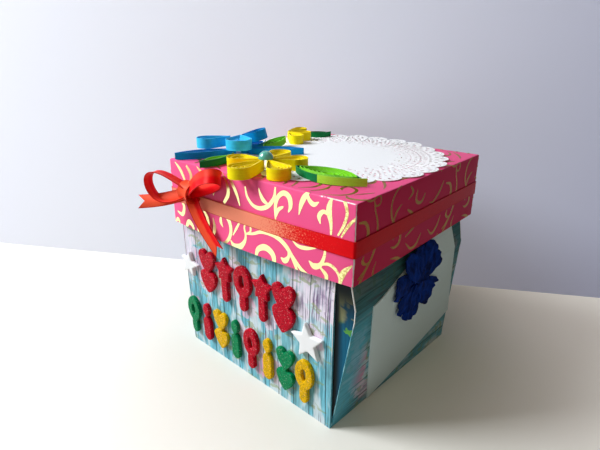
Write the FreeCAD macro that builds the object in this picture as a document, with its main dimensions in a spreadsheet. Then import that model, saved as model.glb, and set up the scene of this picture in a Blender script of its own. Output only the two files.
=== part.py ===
import FreeCAD, Part
import math
import os

from FreeCAD import Placement, Rotation, Vector

# An explosion box: a folded card box whose walls drop open once its lid is
# lifted off. Millimetres, +Z up. The origin is the middle of the underside of
# the base, +X is out of the wall with the white card and -Y out of the wall
# with the foam shapes.

doc = FreeCAD.newDocument("ExplosionBox")

# ---------------------------------------------------------------- sizes

SIZES = [
    ("base_width", 101.6, "side of the square base, between the bottom creases"),
    ("wall_height", 104.8, "height of the outer walls, standing"),
    ("card", 0.8, "thickness of the printed card of box and lid"),
    ("bulge_height", 61.0, "height at which a leaning wall stands out most"),
    ("right_lean_front", 10.4, "how far the right wall leans out at its front crease"),
    ("right_lean_back", 4.6, "how far the right wall leans out at its back crease"),
    ("front_lean", 2.0, "how far the front wall leans out at its left end"),
    ("back_lean", 1.5, "how far the back wall leans out at its left end"),
    ("left_lean", 2.2, "how far the left wall leans out at its back end"),
    ("wing_top", 20.0, "reach of a side wing behind the next wall, at its top"),
    ("wing_foot", 14.0, "reach of a side wing behind the next wall, at its foot"),
    ("wing_gap", 0.1, "clearance between a side wing and the wall before it"),
    ("layer_card", 0.6, "thickness of the card of the nested layers"),
    ("layer_step", 3.0, "how much each nested layer stands inside the one round it"),
    ("middle_drop", 6.8, "how far the middle layer's walls end below the outer ones"),
    ("inner_drop", 14.8, "how far the inner layer's walls end below the outer ones"),
    ("layer_slit", 0.4, "open slit at the upright corners of a nested layer"),
    ("lid_ease_wide", 9.3, "how much wider the lid is than the base, along X"),
    ("lid_ease_long", 10.2, "how much longer the lid is than the base, along Y"),
    ("lid_skirt", 32.5, "depth of the lid, outside"),
    ("lid_turn", 2.8, "turn of the lid on the box, in degrees"),
    ("lid_shift_x", 1.95, "place of the lid's middle along X"),
    ("lid_shift_y", 1.6, "place of the lid's middle along Y"),
    ("lid_seat", 0.3, "gap between the walls' top edges and the lid"),
    ("tuck_gap", 1.0, "clearance between a wall and the inside of the lid's skirt"),
    ("skirt_bow", 3.0, "how far the lower edge of the front skirt bows out"),
    ("ribbon_width", 6.7, "width of the satin ribbon"),
    ("ribbon_thick", 0.4, "thickness of the satin ribbon"),
    ("ribbon_drop", 14.2, "from the lid's top down to the ribbon band"),
    ("ribbon_gap", 0.1, "clearance between the ribbon band and the skirts"),
    ("doily_radius", 51.5, "radius of the doily to the roots of its scallops"),
    ("doily_thick", 0.3, "thickness of the doily"),
    ("doily_x", 1.2, "place of the doily's middle on the lid, along its width"),
    ("doily_y", 4.5, "place of the doily's middle on the lid, along its length"),
    ("scallops", 26, "number of scallops round the doily"),
    ("paper", 0.4, "thickness of a quilled paper strip"),
    ("narrow_strip", 3.3, "height of the narrow quilled strips"),
    ("wide_strip", 5.0, "height of the wide quilled strips"),
    ("pearl_radius", 3.4, "radius of the half pearl"),
    ("foam", 2.2, "thickness of the foam shapes"),
    ("foam_stroke", 4.8, "width of the foam sticks and strings"),
    ("upper_row_low", 38.0, "height of the foot of the upper row of foam shapes"),
    ("upper_row_tall", 24.0, "height of the upper row's shapes"),
    ("upper_row_start", 29.5, "how far left of the wall's middle the upper row starts"),
    ("upper_row_pitch", 13.4, "step from one shape of the upper row to the next"),
    ("lower_row_low", 7.0, "height of the foot of the lower row of foam shapes"),
    ("lower_row_tall", 22.5, "height of the lower row's shapes"),
    ("lower_row_start", 46.0, "how far left of the wall's middle the lower row starts"),
    ("lower_row_pitch", 11.8, "step from one shape of the lower row to the next"),
    ("glue_gap", 0.05, "what lies between a glued piece and its wall"),
    ("side_card_width", 76.5, "width of the white card"),
    ("side_card_height", 61.0, "height of the white card"),
    ("side_card_turn", 13.0, "turn of the white card on its wall, in degrees"),
    ("side_card_thick", 0.5, "thickness of the white card"),
    ("side_card_along", 6.5, "place of the white card's middle along its wall"),
    ("side_card_up", 38.6, "height of the white card's middle"),
    ("side_flower_along", 0.0, "place of the side flower's middle along its wall"),
    ("side_flower_up", 56.0, "height of the side flower's middle"),
    ("petal_thick", 1.4, "thickness of the side flower's first petal"),
    ("petal_step", 0.35, "how much higher each further petal stands"),
    ("button_wide", 8.0, "width of the side flower's middle"),
    ("button_thick", 4.4, "thickness of the side flower's middle"),
]

sheet = doc.addObject("Spreadsheet::Sheet", "Sizes")
for row, (alias, value, meaning) in enumerate(SIZES, start=1):
    sheet.set(f"A{row}", alias)
    sheet.set(f"B{row}", str(value))
    sheet.setAlias(f"B{row}", alias)
    sheet.set(f"C{row}", meaning)
doc.recompute()


def size(alias):
    """The plain number in the named cell."""
    return float(sheet.get(alias))


BASE = size("base_width")
CARD = size("card")
HALF = BASE / 2
WALL_TOP = size("wall_height")
LID_TOP = WALL_TOP + size("lid_seat") + CARD
LID_RIM = LID_TOP - size("lid_skirt")
LID_WIDE = BASE + size("lid_ease_wide")
LID_LONG = BASE + size("lid_ease_long")
LID_SHARE = LID_WIDE / 100
DOILY_TOP = LID_TOP + size("doily_thick")
PAPER = size("paper")

# Turns a flat outline from the XY plane to an upright wall that faces +X:
# its x runs along +Y and its y along +Z.
UPRIGHT = Rotation(Vector(1, 1, 1), 120)

SUB_PARTS = []


def keep(item, label):
    """Gives a sub-part its name, which is also its file's name."""
    item.Label = label
    SUB_PARTS.append(item)
    return item


def add_shape(label, shape, placement=None):
    """A sub-part whose shape is made by the functions of this file."""
    item = doc.addObject("Part::Feature", label)
    item.Shape = shape
    if placement:
        item.Placement = placement
    return keep(item, label)


def fused(solids):
    """One solid from several that meet."""
    shape = solids[0]
    if len(solids) > 1:
        shape = shape.fuse(solids[1:]).removeSplitter()
    return shape.Solids[0] if len(shape.Solids) == 1 else shape


def loft(outlines):
    """A ruled solid through closed outlines."""
    return Part.makeLoft(outlines, True, True)


def turned(x, y, degrees):
    """The point (x, y), turned about the origin."""
    turn = math.radians(degrees)
    return (x * math.cos(turn) - y * math.sin(turn), x * math.sin(turn) + y * math.cos(turn))


# ---------------------------------------------------------------- the walls

# Each wall has its own axes: it runs along +Y, faces +X and is then turned
# about the box's axis. "start" is its low-Y end there and "end" its high-Y end.
WALLS = {
    "right": {"turn": 0, "start": size("right_lean_front"), "end": size("right_lean_back")},
    "back": {"turn": 90, "start": 0.0, "end": size("back_lean")},
    "left": {"turn": 180, "start": size("left_lean"), "end": 0.0},
    "front": {"turn": -90, "start": size("front_lean"), "end": 0.0},
}


def lid_inside(wall, along):
    """How far out the inside of the lid's skirt is, at a place along a wall."""
    turn = WALLS[wall]["turn"]
    out, side = turned(size("lid_shift_x"), size("lid_shift_y"), -turn)
    half = (LID_WIDE if wall in ("right", "left") else LID_LONG) / 2 - CARD
    lid_turn = math.radians(size("lid_turn"))
    return out + (half - math.sin(lid_turn) * (along - side)) / math.cos(lid_turn)


def wall_half(wall):
    """Half the length of a wall: right and left stand between front and back."""
    covered = CARD + size("wing_gap") if wall in ("right", "left") else 0.0
    return HALF - covered


def wall_line(wall):
    """The wall's outer face as (height, out at start, out at end), bottom up."""
    ends = []
    for along, lean in ((-wall_half(wall), WALLS[wall]["start"]), (wall_half(wall), WALLS[wall]["end"])):
        tucked = lid_inside(wall, along) - size("tuck_gap")
        ends.append((HALF + lean, min(HALF + lean, tucked)))
    (bulge_a, tuck_a), (bulge_b, tuck_b) = ends
    return [
        (0.0, HALF, HALF),
        (size("bulge_height"), bulge_a, bulge_b),
        (LID_RIM - size("lid_seat"), tuck_a, tuck_b),
        (WALL_TOP, tuck_a, tuck_b),
    ]


def wall_slab(wall, low, high, reach=0.0):
    """The layer from low to high outside the wall's face, past its ends by reach."""
    half = wall_half(wall)
    outlines = []
    for height, out_a, out_b in wall_line(wall):
        slope = (out_b - out_a) / (2 * half)
        start, end = -half - reach, half + reach
        first, last = out_a - slope * reach, out_b + slope * reach
        outlines.append(Part.makePolygon([
            Vector(first + low, start, height),
            Vector(first + high, start, height),
            Vector(last + high, end, height),
            Vector(last + low, end, height),
            Vector(first + low, start, height),
        ]))
    return loft(outlines)


def face_wall(wall, shape):
    """Turns a shape from the wall's own axes to its place on the box."""
    shape.rotate(Vector(0, 0, 0), Vector(0, 0, 1), WALLS[wall]["turn"])
    return shape


def wing(wall, end):
    """A side wing at one upright crease (end is -1 or +1), in the wall's own axes."""
    line = wall_line(wall)
    place = 1 if end < 0 else 2
    crease = [(row[place] - CARD / 2, row[0]) for row in line[1:]]
    foot = CARD + size("layer_card")
    points = [(HALF - CARD / 2, foot)] + crease
    points += [
        (crease[-1][0] - size("wing_top"), WALL_TOP),
        (HALF - size("wing_foot"), foot),
    ]
    side = end * wall_half(wall)
    side = side if end < 0 else side - CARD
    outline = [Vector(out, side, height) for out, height in points]
    face = Part.Face(Part.makePolygon(outline + outline[:1]))
    return face.extrude(Vector(0, CARD, 0))


def outer_box():
    """The folded outer sheet: base, four walls and the side wings."""
    base = Part.makeBox(BASE, BASE, CARD, Vector(-HALF, -HALF, 0))
    solids = [base]
    for wall in WALLS:
        solids.append(face_wall(wall, wall_slab(wall, -CARD, 0.0)))
    for wall in ("right", "left"):
        for end in (-1, 1):
            solids.append(face_wall(wall, wing(wall, end)))
    lid_space = skirt_band(-CARD - size("tuck_gap"), BASE / 2, LID_RIM - size("lid_seat"), LID_TOP)
    lid_space.Placement = on_lid()
    return fused(solids).cut(lid_space).Solids[0]


# ---------------------------------------------------------------- the lid

def on_lid(height=0.0):
    """The lid's place on the box; everything on the lid is made in its axes."""
    place = Vector(size("lid_shift_x"), size("lid_shift_y"), height)
    return Placement(place, Rotation(Vector(0, 0, 1), size("lid_turn")))


def skirt_ring(grow, height):
    """The skirts' outline at a height, grown outwards, its front side bowed."""
    wide = LID_WIDE / 2 + grow
    long = LID_LONG / 2 + grow
    bow = size("skirt_bow") * (LID_TOP - height) / size("lid_skirt")
    corners = [
        Vector(-wide, -long, height),
        Vector(wide, -long, height),
        Vector(wide, long, height),
        Vector(-wide, long, height),
    ]
    front = Part.Arc(corners[0], Vector(0, -long - max(bow, 0.001), height), corners[1]).toShape()
    edges = [front]
    for a, b in ((1, 2), (2, 3), (3, 0)):
        edges.append(Part.LineSegment(corners[a], corners[b]).toShape())
    return Part.Wire(edges)


def skirt_band(inside, outside, low, high):
    """A closed band that follows the skirts between two heights."""
    outer = loft([skirt_ring(outside, low), skirt_ring(outside, high)])
    inner = loft([skirt_ring(inside, low), skirt_ring(inside, high)])
    return outer.cut(inner).Solids[0]


add_shape("outer_box", outer_box())


def lid():
    """The folded lid: a flat top and four skirts."""
    body = loft([skirt_ring(0.0, LID_RIM), skirt_ring(0.0, LID_TOP)])
    hollow = loft([skirt_ring(-CARD, LID_RIM), skirt_ring(-CARD, LID_TOP)])
    top = Part.makeBox(LID_WIDE + BASE, LID_LONG + BASE, CARD)
    top.translate(Vector(-LID_WIDE / 2 - HALF, -LID_LONG / 2 - HALF, LID_TOP - CARD))
    return body.cut(hollow.cut(top)).Solids[0]


add_shape("lid", lid(), on_lid())

BAND_TOP = LID_TOP - size("ribbon_drop")
BAND_LOW = BAND_TOP - size("ribbon_width")
BAND_OUT = size("ribbon_gap") + size("ribbon_thick")
add_shape("ribbon_band", skirt_band(size("ribbon_gap"), BAND_OUT, BAND_LOW, BAND_TOP), on_lid())


# ---------------------------------------------------------------- nested layers

def bound_box(name, length, width, height, x, y, z):
    """A box whose sizes and place are formulas of the sheet's cells."""
    item = doc.addObject("Part::Box", name)
    for field, formula in (("Length", length), ("Width", width), ("Height", height)):
        item.setExpression(field, formula)
    for axis, formula in (("x", x), ("y", y), ("z", z)):
        item.setExpression(f".Placement.Base.{axis}", formula)
    return item


def nested_layer(label, steps, floor, drop):
    """A folded sheet inside the box: a base and four flaps with open corners."""
    sheet_card = "Sizes.layer_card"
    wide = f"(Sizes.base_width - 2 * {steps} * Sizes.layer_step)"
    low = f"-{wide} / 2"
    slit = f"({sheet_card} + Sizes.layer_slit)"
    between = f"{wide} - 2 * {slit}"
    tall = f"(Sizes.wall_height - Sizes.{drop} - ({floor}))"
    far = f"{wide} / 2 - {sheet_card}"
    pieces = [bound_box(f"{label}_base", wide, wide, sheet_card, low, low, floor)]
    for side, place in (("front", low), ("back", far)):
        pieces.append(bound_box(f"{label}_{side}", wide, sheet_card, tall, low, place, floor))
    for side, place in (("left", low), ("right", far)):
        pieces.append(
            bound_box(f"{label}_{side}", sheet_card, between, tall, place, f"{low} + {slit}", floor)
        )
    whole = doc.addObject("Part::MultiFuse", label)
    whole.Shapes = pieces
    whole.Refine = True
    return keep(whole, label)


nested_layer("middle_layer", 1, "Sizes.card", "middle_drop")
nested_layer("inner_layer", 2, "Sizes.card + Sizes.layer_card", "inner_drop")


# ---------------------------------------------------------------- the bow

def ribbon_strip(path, widths, width=None, thick=None, notch=0.0):
    """A flat ribbon lofted along a path; widths gives its broad direction at each point."""
    width = width or size("ribbon_width")
    thick = thick or size("ribbon_thick")
    outlines = []
    for place, point in enumerate(path):
        before = path[max(place - 1, 0)]
        after = path[min(place + 1, len(path) - 1)]
        along = (after - before).normalize()
        broad = widths[place] - along * widths[place].dot(along)
        broad = broad.normalize() * (width / 2)
        flat = along.cross(broad).normalize() * (thick / 2)
        corners = [point - broad - flat, point + broad - flat, point + broad + flat, point - broad + flat]
        outlines.append(Part.makePolygon(corners + corners[:1]))
    strip = loft(outlines)
    if notch:
        along = (path[-1] - path[-2]).normalize()
        broad = widths[-1] - along * widths[-1].dot(along)
        broad = broad.normalize() * width
        flat = along.cross(broad).normalize() * (4 * thick)
        tip = path[-1] - along * notch
        past = path[-1] + along * (0.02 * notch)
        corners = [tip - flat, past - broad * 0.5 - flat, past + broad * 0.5 - flat]
        wedge = Part.Face(Part.makePolygon(corners + corners[:1])).extrude(flat * 2)
        strip = strip.cut(wedge)
    return strip


def smooth_edge(points):
    """A smooth curve through points."""
    curve = Part.BSplineCurve()
    curve.interpolate(points)
    return curve.toShape()


def bow_loop(knot, tip, bulge, steps=12):
    """A ribbon loop that leaves the knot, turns round at tip and comes back beside its start."""
    reach = tip - knot
    axis = reach.cross(bulge).normalize()
    sides = ([], [])
    for step in range(steps + 1):
        turn = math.pi * step / steps
        across = 0.5 * math.sin(2 * turn) + 0.12 * math.cos(turn)
        place = knot + reach * math.sin(turn) + bulge * across
        along = reach * math.cos(turn) + bulge * (math.cos(2 * turn) - 0.12 * math.sin(turn))
        flat = axis.cross(along).normalize() * (size("ribbon_thick") / 2)
        sides[0].append(place + flat)
        sides[1].append(place - flat)
    back = sides[1][::-1]
    edges = [
        smooth_edge(sides[0]),
        Part.LineSegment(sides[0][-1], back[0]).toShape(),
        smooth_edge(back),
        Part.LineSegment(back[-1], sides[0][0]).toShape(),
    ]
    loop = Part.Face(Part.Wire(edges)).extrude(axis * size("ribbon_width"))
    loop.translate(axis * (-size("ribbon_width") / 2))
    return loop


def bow_tail(start, sag, end, broad_start, broad_end, steps=5):
    """A ribbon tail with a notched end, on a bent path from the knot."""
    path = []
    widths = []
    for step in range(steps + 1):
        share = step / steps
        path.append(start * (1 - share) ** 2 + sag * (2 * share * (1 - share)) + end * share ** 2)
        widths.append(broad_start * (1 - share) + broad_end * share)
    return ribbon_strip(path, widths, notch=size("ribbon_width") * 0.55)


def skirt_front(x, height):
    """The outer face of the bowed front skirt, in the lid's axes."""
    drop = (LID_TOP - height) / size("lid_skirt")
    return -LID_LONG / 2 - size("skirt_bow") * drop * (1 - (2 * x / LID_WIDE) ** 2)


def off_skirt(x, out, height):
    """A point so far out from the ribbon band's face on the front skirt."""
    face = skirt_front(x, max(height, LID_RIM)) - BAND_OUT
    return Vector(x, face - out, height)


def bow_point(x, out, up):
    """A point by the bow: x in hundredths of the lid's width, the rest in ribbon widths
    out from the band and up from its upper edge."""
    ribbon = size("ribbon_width")
    return off_skirt(x * LID_SHARE, out * ribbon, BAND_TOP + up * ribbon)


def ribbon_bow():
    """The bow: two loops, two notched tails and the knot, tied from one length."""
    ribbon = size("ribbon_width")
    knot = bow_point(-31.2, 0.58, 0.32)
    loops = [
        bow_loop(knot, bow_point(-49.5, 1.95, 0.62), Vector(-0.45, 0.0, 1.75) * ribbon),
        bow_loop(knot, bow_point(-10.6, 0.95, 2.05), Vector(-0.30, -1.05, 0.45) * ribbon),
    ]
    up = Vector(0, 0, 1)
    tails = [
        bow_tail(knot, bow_point(-43.3, 1.2, -0.6), bow_point(-54.1, 2.55, -0.75),
                 up, Vector(0.25, 0.0, 1.0)),
        bow_tail(knot, bow_point(-27.0, 0.66, -1.35), bow_point(-13.0, 0.4, -3.4),
                 Vector(1, 0, 0.2), Vector(1.0, -0.15, 0.5)),
    ]
    wide, deep, tall = 0.9 * ribbon, 1.07 * ribbon, 1.27 * ribbon
    wrap = Part.makeBox(wide, deep, tall, Vector(-wide / 2, -deep / 2, -tall / 2))
    wrap = wrap.makeFillet(0.3 * ribbon, wrap.Edges)
    wrap.Placement = Placement(knot, Rotation(Vector(0, 1, 0), 12))
    return fused([wrap] + loops + tails)


add_shape("ribbon_bow", ribbon_bow(), on_lid())


# ---------------------------------------------------------------- the doily

def circle_sketch(body, name, height):
    """A sketch on the body's XY plane, lifted to a height by formula."""
    sketch = body.newObject("Sketcher::SketchObject", name)
    origin = [f for f in body.Origin.OriginFeatures if f.Role == "XY_Plane"][0]
    sketch.AttachmentSupport = [(origin, "")]
    sketch.MapMode = "FlatFace"
    sketch.setExpression(".AttachmentOffset.Base.z", height)
    return sketch


def paper_doily():
    """A paper-lace disc: scalloped rim, with rings of round holes."""
    body = doc.addObject("PartDesign::Body", "paper_doily")
    lid_top = "Sizes.wall_height + Sizes.lid_seat + Sizes.card"
    normal = Vector(0, 0, 1)

    disc = circle_sketch(body, "doily_disc", lid_top)
    disc.addGeometry(Part.Circle(Vector(0, 0, 0), normal, size("doily_radius")))
    pad = body.newObject("PartDesign::Pad", "doily_pad")
    pad.Profile = disc
    pad.setExpression("Length", "Sizes.doily_thick")
    doc.recompute()

    rim = 2 * math.pi * size("doily_radius") / size("scallops")
    scallop = circle_sketch(body, "doily_scallop", lid_top)
    scallop.addGeometry(Part.Circle(Vector(size("doily_radius"), 0, 0), normal, 0.46 * rim))
    bead = body.newObject("PartDesign::Pad", "doily_bead")
    bead.Profile = scallop
    bead.setExpression("Length", "Sizes.doily_thick")
    doc.recompute()
    rims = round_pattern(body, "doily_rim", bead)

    for name, inset, hole in (("eye", 0.10, 0.26), ("dot", 0.62, 0.16), ("inner_dot", 1.20, 0.20)):
        ring = size("doily_radius") - inset * rim
        cell = circle_sketch(body, f"doily_{name}", lid_top)
        turn = math.pi / size("scallops") if name == "dot" else 0.0
        centre = Vector(ring * math.cos(turn), ring * math.sin(turn), 0)
        cell.addGeometry(Part.Circle(centre, normal, hole * rim))
        cut = body.newObject("PartDesign::Pocket", f"doily_{name}_hole")
        cut.Profile = cell
        cut.Type = "ThroughAll"
        cut.Midplane = True
        doc.recompute()
        rims = round_pattern(body, f"doily_{name}_ring", cut)
    body.Tip = rims
    spot = on_lid() * Placement(Vector(size("doily_x"), size("doily_y"), 0), Rotation())
    body.Placement = spot
    return keep(body, "paper_doily")


def round_pattern(body, name, feature):
    """Repeats a feature round the doily's middle, once for each scallop."""
    pattern = body.newObject("PartDesign::PolarPattern", name)
    pattern.Originals = [feature]
    axis = [f for f in body.Origin.OriginFeatures if f.Role == "Z_Axis"][0]
    pattern.Axis = (axis, [""])
    pattern.Angle = 360
    pattern.setExpression("Occurrences", "Sizes.scallops")
    body.Tip = pattern
    doc.recompute()
    return pattern


paper_doily()


# ---------------------------------------------------------------- quilled coils

def drop_outline(length, radius, inset):
    """A drop from its pinched tip at the origin to its round end, drawn in by inset."""
    centre = length - radius
    half_angle = math.asin(radius / centre)
    tip = inset / math.sin(half_angle)
    small = radius - inset
    touch_x = centre - small * math.sin(half_angle)
    touch_y = small * math.cos(half_angle)
    upper = Vector(touch_x, touch_y, 0)
    lower = Vector(touch_x, -touch_y, 0)
    point = Vector(tip, 0, 0)
    edges = [
        Part.LineSegment(point, lower).toShape(),
        Part.Arc(lower, Vector(centre + small, 0, 0), upper).toShape(),
        Part.LineSegment(upper, point).toShape(),
    ]
    return Part.Face(Part.Wire(edges))


def leaf_outline(length, radius, inset):
    """A leaf of two arcs, pinched at both ends, drawn in by inset; radius is its half width."""
    half = length / 2
    bend = (half ** 2 + radius ** 2) / (2 * radius)
    reach = math.sqrt((bend - inset) ** 2 - (bend - radius) ** 2)
    first = Vector(half - reach, 0, 0)
    last = Vector(half + reach, 0, 0)
    edges = [
        Part.Arc(first, Vector(half, inset - radius, 0), last).toShape(),
        Part.Arc(last, Vector(half, radius - inset, 0), first).toShape(),
    ]
    return Part.Face(Part.Wire(edges))


def coil(outline, length, radius, tall, turns):
    """A rolled strip: nested turns pressed together at the pinch, open at the far end."""
    walls = []
    for turn in range(turns):
        share = 1.0 - 0.62 * turn / turns
        start = 0.55 * PAPER * turn
        turn_length = (length - start) * (share if turn else 1.0)
        turn_radius = radius * (share if turn else 1.0)
        ring = outline(turn_length, turn_radius, 0.0).extrude(Vector(0, 0, tall))
        ring = ring.cut(outline(turn_length, turn_radius, PAPER).extrude(Vector(0, 0, tall)))
        ring.translate(Vector(start, 0, 0))
        walls.append(ring)
    return fused(walls)


def place_coil(label, outline, root, tip, radius, tall, lift=0.0, turns=3, rise=0.0):
    """A coil on the lid from its pinched root to its tip, lifted and tilted where asked.
    Root, tip and radius are in hundredths of the lid's width."""
    run = LID_SHARE * math.hypot(tip[0] - root[0], tip[1] - root[1])
    heading = math.degrees(math.atan2(tip[1] - root[1], tip[0] - root[0]))
    shape = coil(outline, run, radius * LID_SHARE, tall, turns)
    turn = Rotation(Vector(0, 0, 1), heading) * Rotation(Vector(0, 1, 0), -rise)
    local = Placement(Vector(root[0] * LID_SHARE, root[1] * LID_SHARE, DOILY_TOP + lift), turn)
    return add_shape(label, shape, on_lid() * local)


def petal_tips(centre, petals):
    """The tips of petals given as (heading in degrees, length)."""
    tips = []
    for heading, length in petals:
        x, y = turned(length, 0.0, heading)
        tips.append((centre[0] + x, centre[1] + y))
    return tips


NARROW = size("narrow_strip")
WIDE = size("wide_strip")
ROOT_GAP = 1.1


def flower(name, centre, petals, outline, radius, tall, lift=0.0):
    """Petals of one flower, each a coil whose root stands just off the middle."""
    roots = petal_tips(centre, [(heading, ROOT_GAP) for heading, _ in petals])
    for number, (root, tip) in enumerate(zip(roots, petal_tips(centre, petals)), start=1):
        place_coil(f"{name}_petal_{number}", outline, root, tip, radius, tall, lift)


# Everything quilled is placed in hundredths of the lid's width from its middle.
YELLOW_FRONT = (-2.7, -37.4)
YELLOW_BACK = (-42.4, 18.7)
BLUE = (-33.6, -24.2)

flower("yellow_front", YELLOW_FRONT,
       [(201.0, 17.8), (274.5, 20.9), (333.5, 20.4), (49.0, 18.0), (110.0, 20.9)],
       drop_outline, 4.9, WIDE)
flower("yellow_back", YELLOW_BACK, [(-27.0, 17.6), (29.0, 13.8), (95.0, 17.1)], drop_outline, 3.8, WIDE)
flower("blue_low", BLUE, [(246.5, 30.8), (40.0, 31.9), (102.0, 23.4)], leaf_outline, 3.8, NARROW)

place_coil("blue_heart", drop_outline, (-39.2, -18.0), (-26.6, -31.1), 6.1, WIDE, NARROW)
place_coil("blue_top_petal_1", drop_outline, (-40.6, -22.5), (-47.3, -37.9), 4.9, WIDE, NARROW)
place_coil("blue_top_petal_2", drop_outline, (-37.6, -15.0), (-29.4, -6.8), 4.5, WIDE, NARROW, rise=17.0)

place_coil("leaf_front_left", leaf_outline, (-27.2, -32.6), (-24.3, -55.0), 3.6, NARROW)
place_coil("leaf_front_right", leaf_outline, (7.9, -32.6), (41.8, -31.9), 7.2, NARROW, turns=4)
place_coil("leaf_middle", leaf_outline, (-29.0, -12.2), (-31.4, 7.2), 3.4, NARROW, rise=6.0)
place_coil("leaf_back", leaf_outline, (-39.2, 29.8), (-29.7, 41.0), 3.1, NARROW)


def half_pearl():
    """The half pearl on the yellow flower's middle."""
    pearl = doc.addObject("Part::Sphere", "half_pearl")
    pearl.setExpression("Radius", "Sizes.pearl_radius")
    pearl.Angle1 = 0
    pearl.Angle2 = 90
    x, y = YELLOW_FRONT
    spot = Placement(Vector(x * LID_SHARE, y * LID_SHARE, DOILY_TOP + WIDE), Rotation())
    pearl.Placement = on_lid() * spot
    return keep(pearl, "half_pearl")


half_pearl()


# ---------------------------------------------------------------- shapes on the walls

def ellipse_face(x, y, wide, tall):
    """An upright or lying oval."""
    if abs(wide - tall) < 0.01:
        edge = Part.makeCircle(wide / 2, Vector(x, y, 0))
    elif wide > tall:
        edge = Part.Ellipse(Vector(x, y, 0), wide / 2, tall / 2).toShape()
    else:
        top, side = Vector(x, y + tall / 2, 0), Vector(x + wide / 2, y, 0)
        edge = Part.Ellipse(top, side, Vector(x, y, 0)).toShape()
    return Part.Face(Part.Wire([edge]))


def bar_face(x, low, high, wide):
    """An upright bar with round ends."""
    r = wide / 2
    edges = [
        Part.LineSegment(Vector(x + r, low + r, 0), Vector(x + r, high - r, 0)).toShape(),
        Part.Arc(Vector(x + r, high - r, 0), Vector(x, high, 0), Vector(x - r, high - r, 0)).toShape(),
        Part.LineSegment(Vector(x - r, high - r, 0), Vector(x - r, low + r, 0)).toShape(),
        Part.Arc(Vector(x - r, low + r, 0), Vector(x, low, 0), Vector(x + r, low + r, 0)).toShape(),
    ]
    return Part.Face(Part.Wire(edges))


def heart_face(x, low, wide):
    """A heart that stands on its point, as wide as it is tall."""
    r = wide / 4
    notch = Vector(x, low + 0.76 * wide, 0)
    point = Vector(x, low, 0)
    left = Vector(x - 2 * r, low + 0.72 * wide, 0)
    right = Vector(x + 2 * r, low + 0.72 * wide, 0)
    edges = [
        Part.Arc(point, Vector(x + 1.45 * r, low + 0.36 * wide, 0), right).toShape(),
        Part.Arc(right, Vector(x + 1.05 * r, low + wide, 0), notch).toShape(),
        Part.Arc(notch, Vector(x - 1.05 * r, low + wide, 0), left).toShape(),
        Part.Arc(left, Vector(x - 1.45 * r, low + 0.36 * wide, 0), point).toShape(),
    ]
    return Part.Face(Part.Wire(edges))


def star_face(x, y, outer, inner, turn=0.0, points=5):
    """A star with the given outer and inner radius."""
    corners = []
    for step in range(2 * points):
        radius = inner if step % 2 else outer
        dx, dy = turned(0.0, radius, turn + 180.0 * step / points)
        corners.append(Vector(x + dx, y + dy, 0))
    return Part.Face(Part.makePolygon(corners + corners[:1]))


def pressed_on(wall, faces, low, high, holes=()):
    """Flat outlines made solid as a layer that lies on the wall's face."""
    depth = BASE
    upright = Placement(Vector(0, 0, 0), UPRIGHT)

    def prism(face):
        block = face.extrude(Vector(0, 0, depth))
        block.Placement = upright
        return block

    block = fused([prism(face) for face in faces])
    for face in holes:
        block = block.cut(prism(face))
    layer = wall_slab(wall, low, high, reach=size("side_card_width") / 4)
    solid = layer.common(block)
    return face_wall(wall, solid)


FOAM_LOW = size("glue_gap")
FOAM_HIGH = FOAM_LOW + size("foam")


def candle(x, low, tall, wide):
    """A candle with its flame."""
    flame = 0.34 * tall
    stick = bar_face(x, low, low + tall - 1.05 * flame, wide)
    wick = bar_face(x, low + tall / 2, low + tall - flame / 2, 0.3 * wide)
    return [stick, wick, ellipse_face(x, low + tall - flame / 2, 0.85 * wide, flame)], []


def balloon(x, low, tall, wide):
    """A balloon on a broad string, with a slot of light."""
    body = 0.68 * tall
    middle = low + tall - body / 2
    string = bar_face(x, low, low + tall - 0.9 * body, size("foam_stroke"))
    hole = ellipse_face(x, middle, 0.26 * wide, 0.42 * body)
    return [ellipse_face(x, middle, wide, body), string], [hole]


def hearts(x, low, tall, wide):
    """Two hearts, one above the other."""
    middle = low + tall / 2
    join = bar_face(x, middle - 0.4 * wide, middle + 0.4 * wide, 0.5 * size("foam_stroke"))
    return [heart_face(x, low, wide), heart_face(x, low + tall - wide, wide), join], []


def star_stick(x, low, tall, wide):
    """A star on a short stick."""
    middle = low + tall - wide / 2
    stick = bar_face(x, low, middle, size("foam_stroke"))
    return [star_face(x, middle, 0.54 * wide, 0.31 * wide), stick], []


def foam_row(number, items):
    """A row of foam shapes along the front wall, left to right; widths are shares of the step."""
    pitch = size(f"{number}_row_pitch")
    low, tall = size(f"{number}_row_low"), size(f"{number}_row_tall")
    for place, (kind, colour, share) in enumerate(items):
        faces, holes = kind(place * pitch - size(f"{number}_row_start"), low, tall, share * pitch)
        solid = pressed_on("front", faces, FOAM_LOW, FOAM_HIGH, holes)
        add_shape(f"foam_{number}_{place + 1}_{colour}_{kind.__name__}", fused(solid.Solids))


foam_row("upper", [
    (hearts, "red", 0.93), (star_stick, "red", 0.97), (balloon, "red", 0.90),
    (star_stick, "red", 0.97), (hearts, "red", 0.99),
])
foam_row("lower", [
    (balloon, "green", 0.89), (candle, "red", 0.51), (hearts, "yellow", 0.93),
    (candle, "green", 0.51), (balloon, "red", 0.89), (candle, "yellow", 0.51),
    (hearts, "green", 0.93), (balloon, "yellow", 0.89),
])

# The white stars: place, height and outer radius in hundredths of the base's width, and turn.
WHITE_STARS = {
    "white_star_right": (37.6, 39.0, 9.4, 8.0),
    "white_star_left": (-44.8, 48.7, 7.4, -10.0),
}
for label, (x, y, outer, turn) in WHITE_STARS.items():
    x, y, outer = (value * BASE / 100 for value in (x, y, outer))
    white_star = pressed_on("front", [star_face(x, y, outer, 0.45 * outer, turn)], FOAM_LOW, FOAM_HIGH)
    add_shape(label, fused(white_star.Solids))


# ---------------------------------------------------------------- the side card

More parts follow.
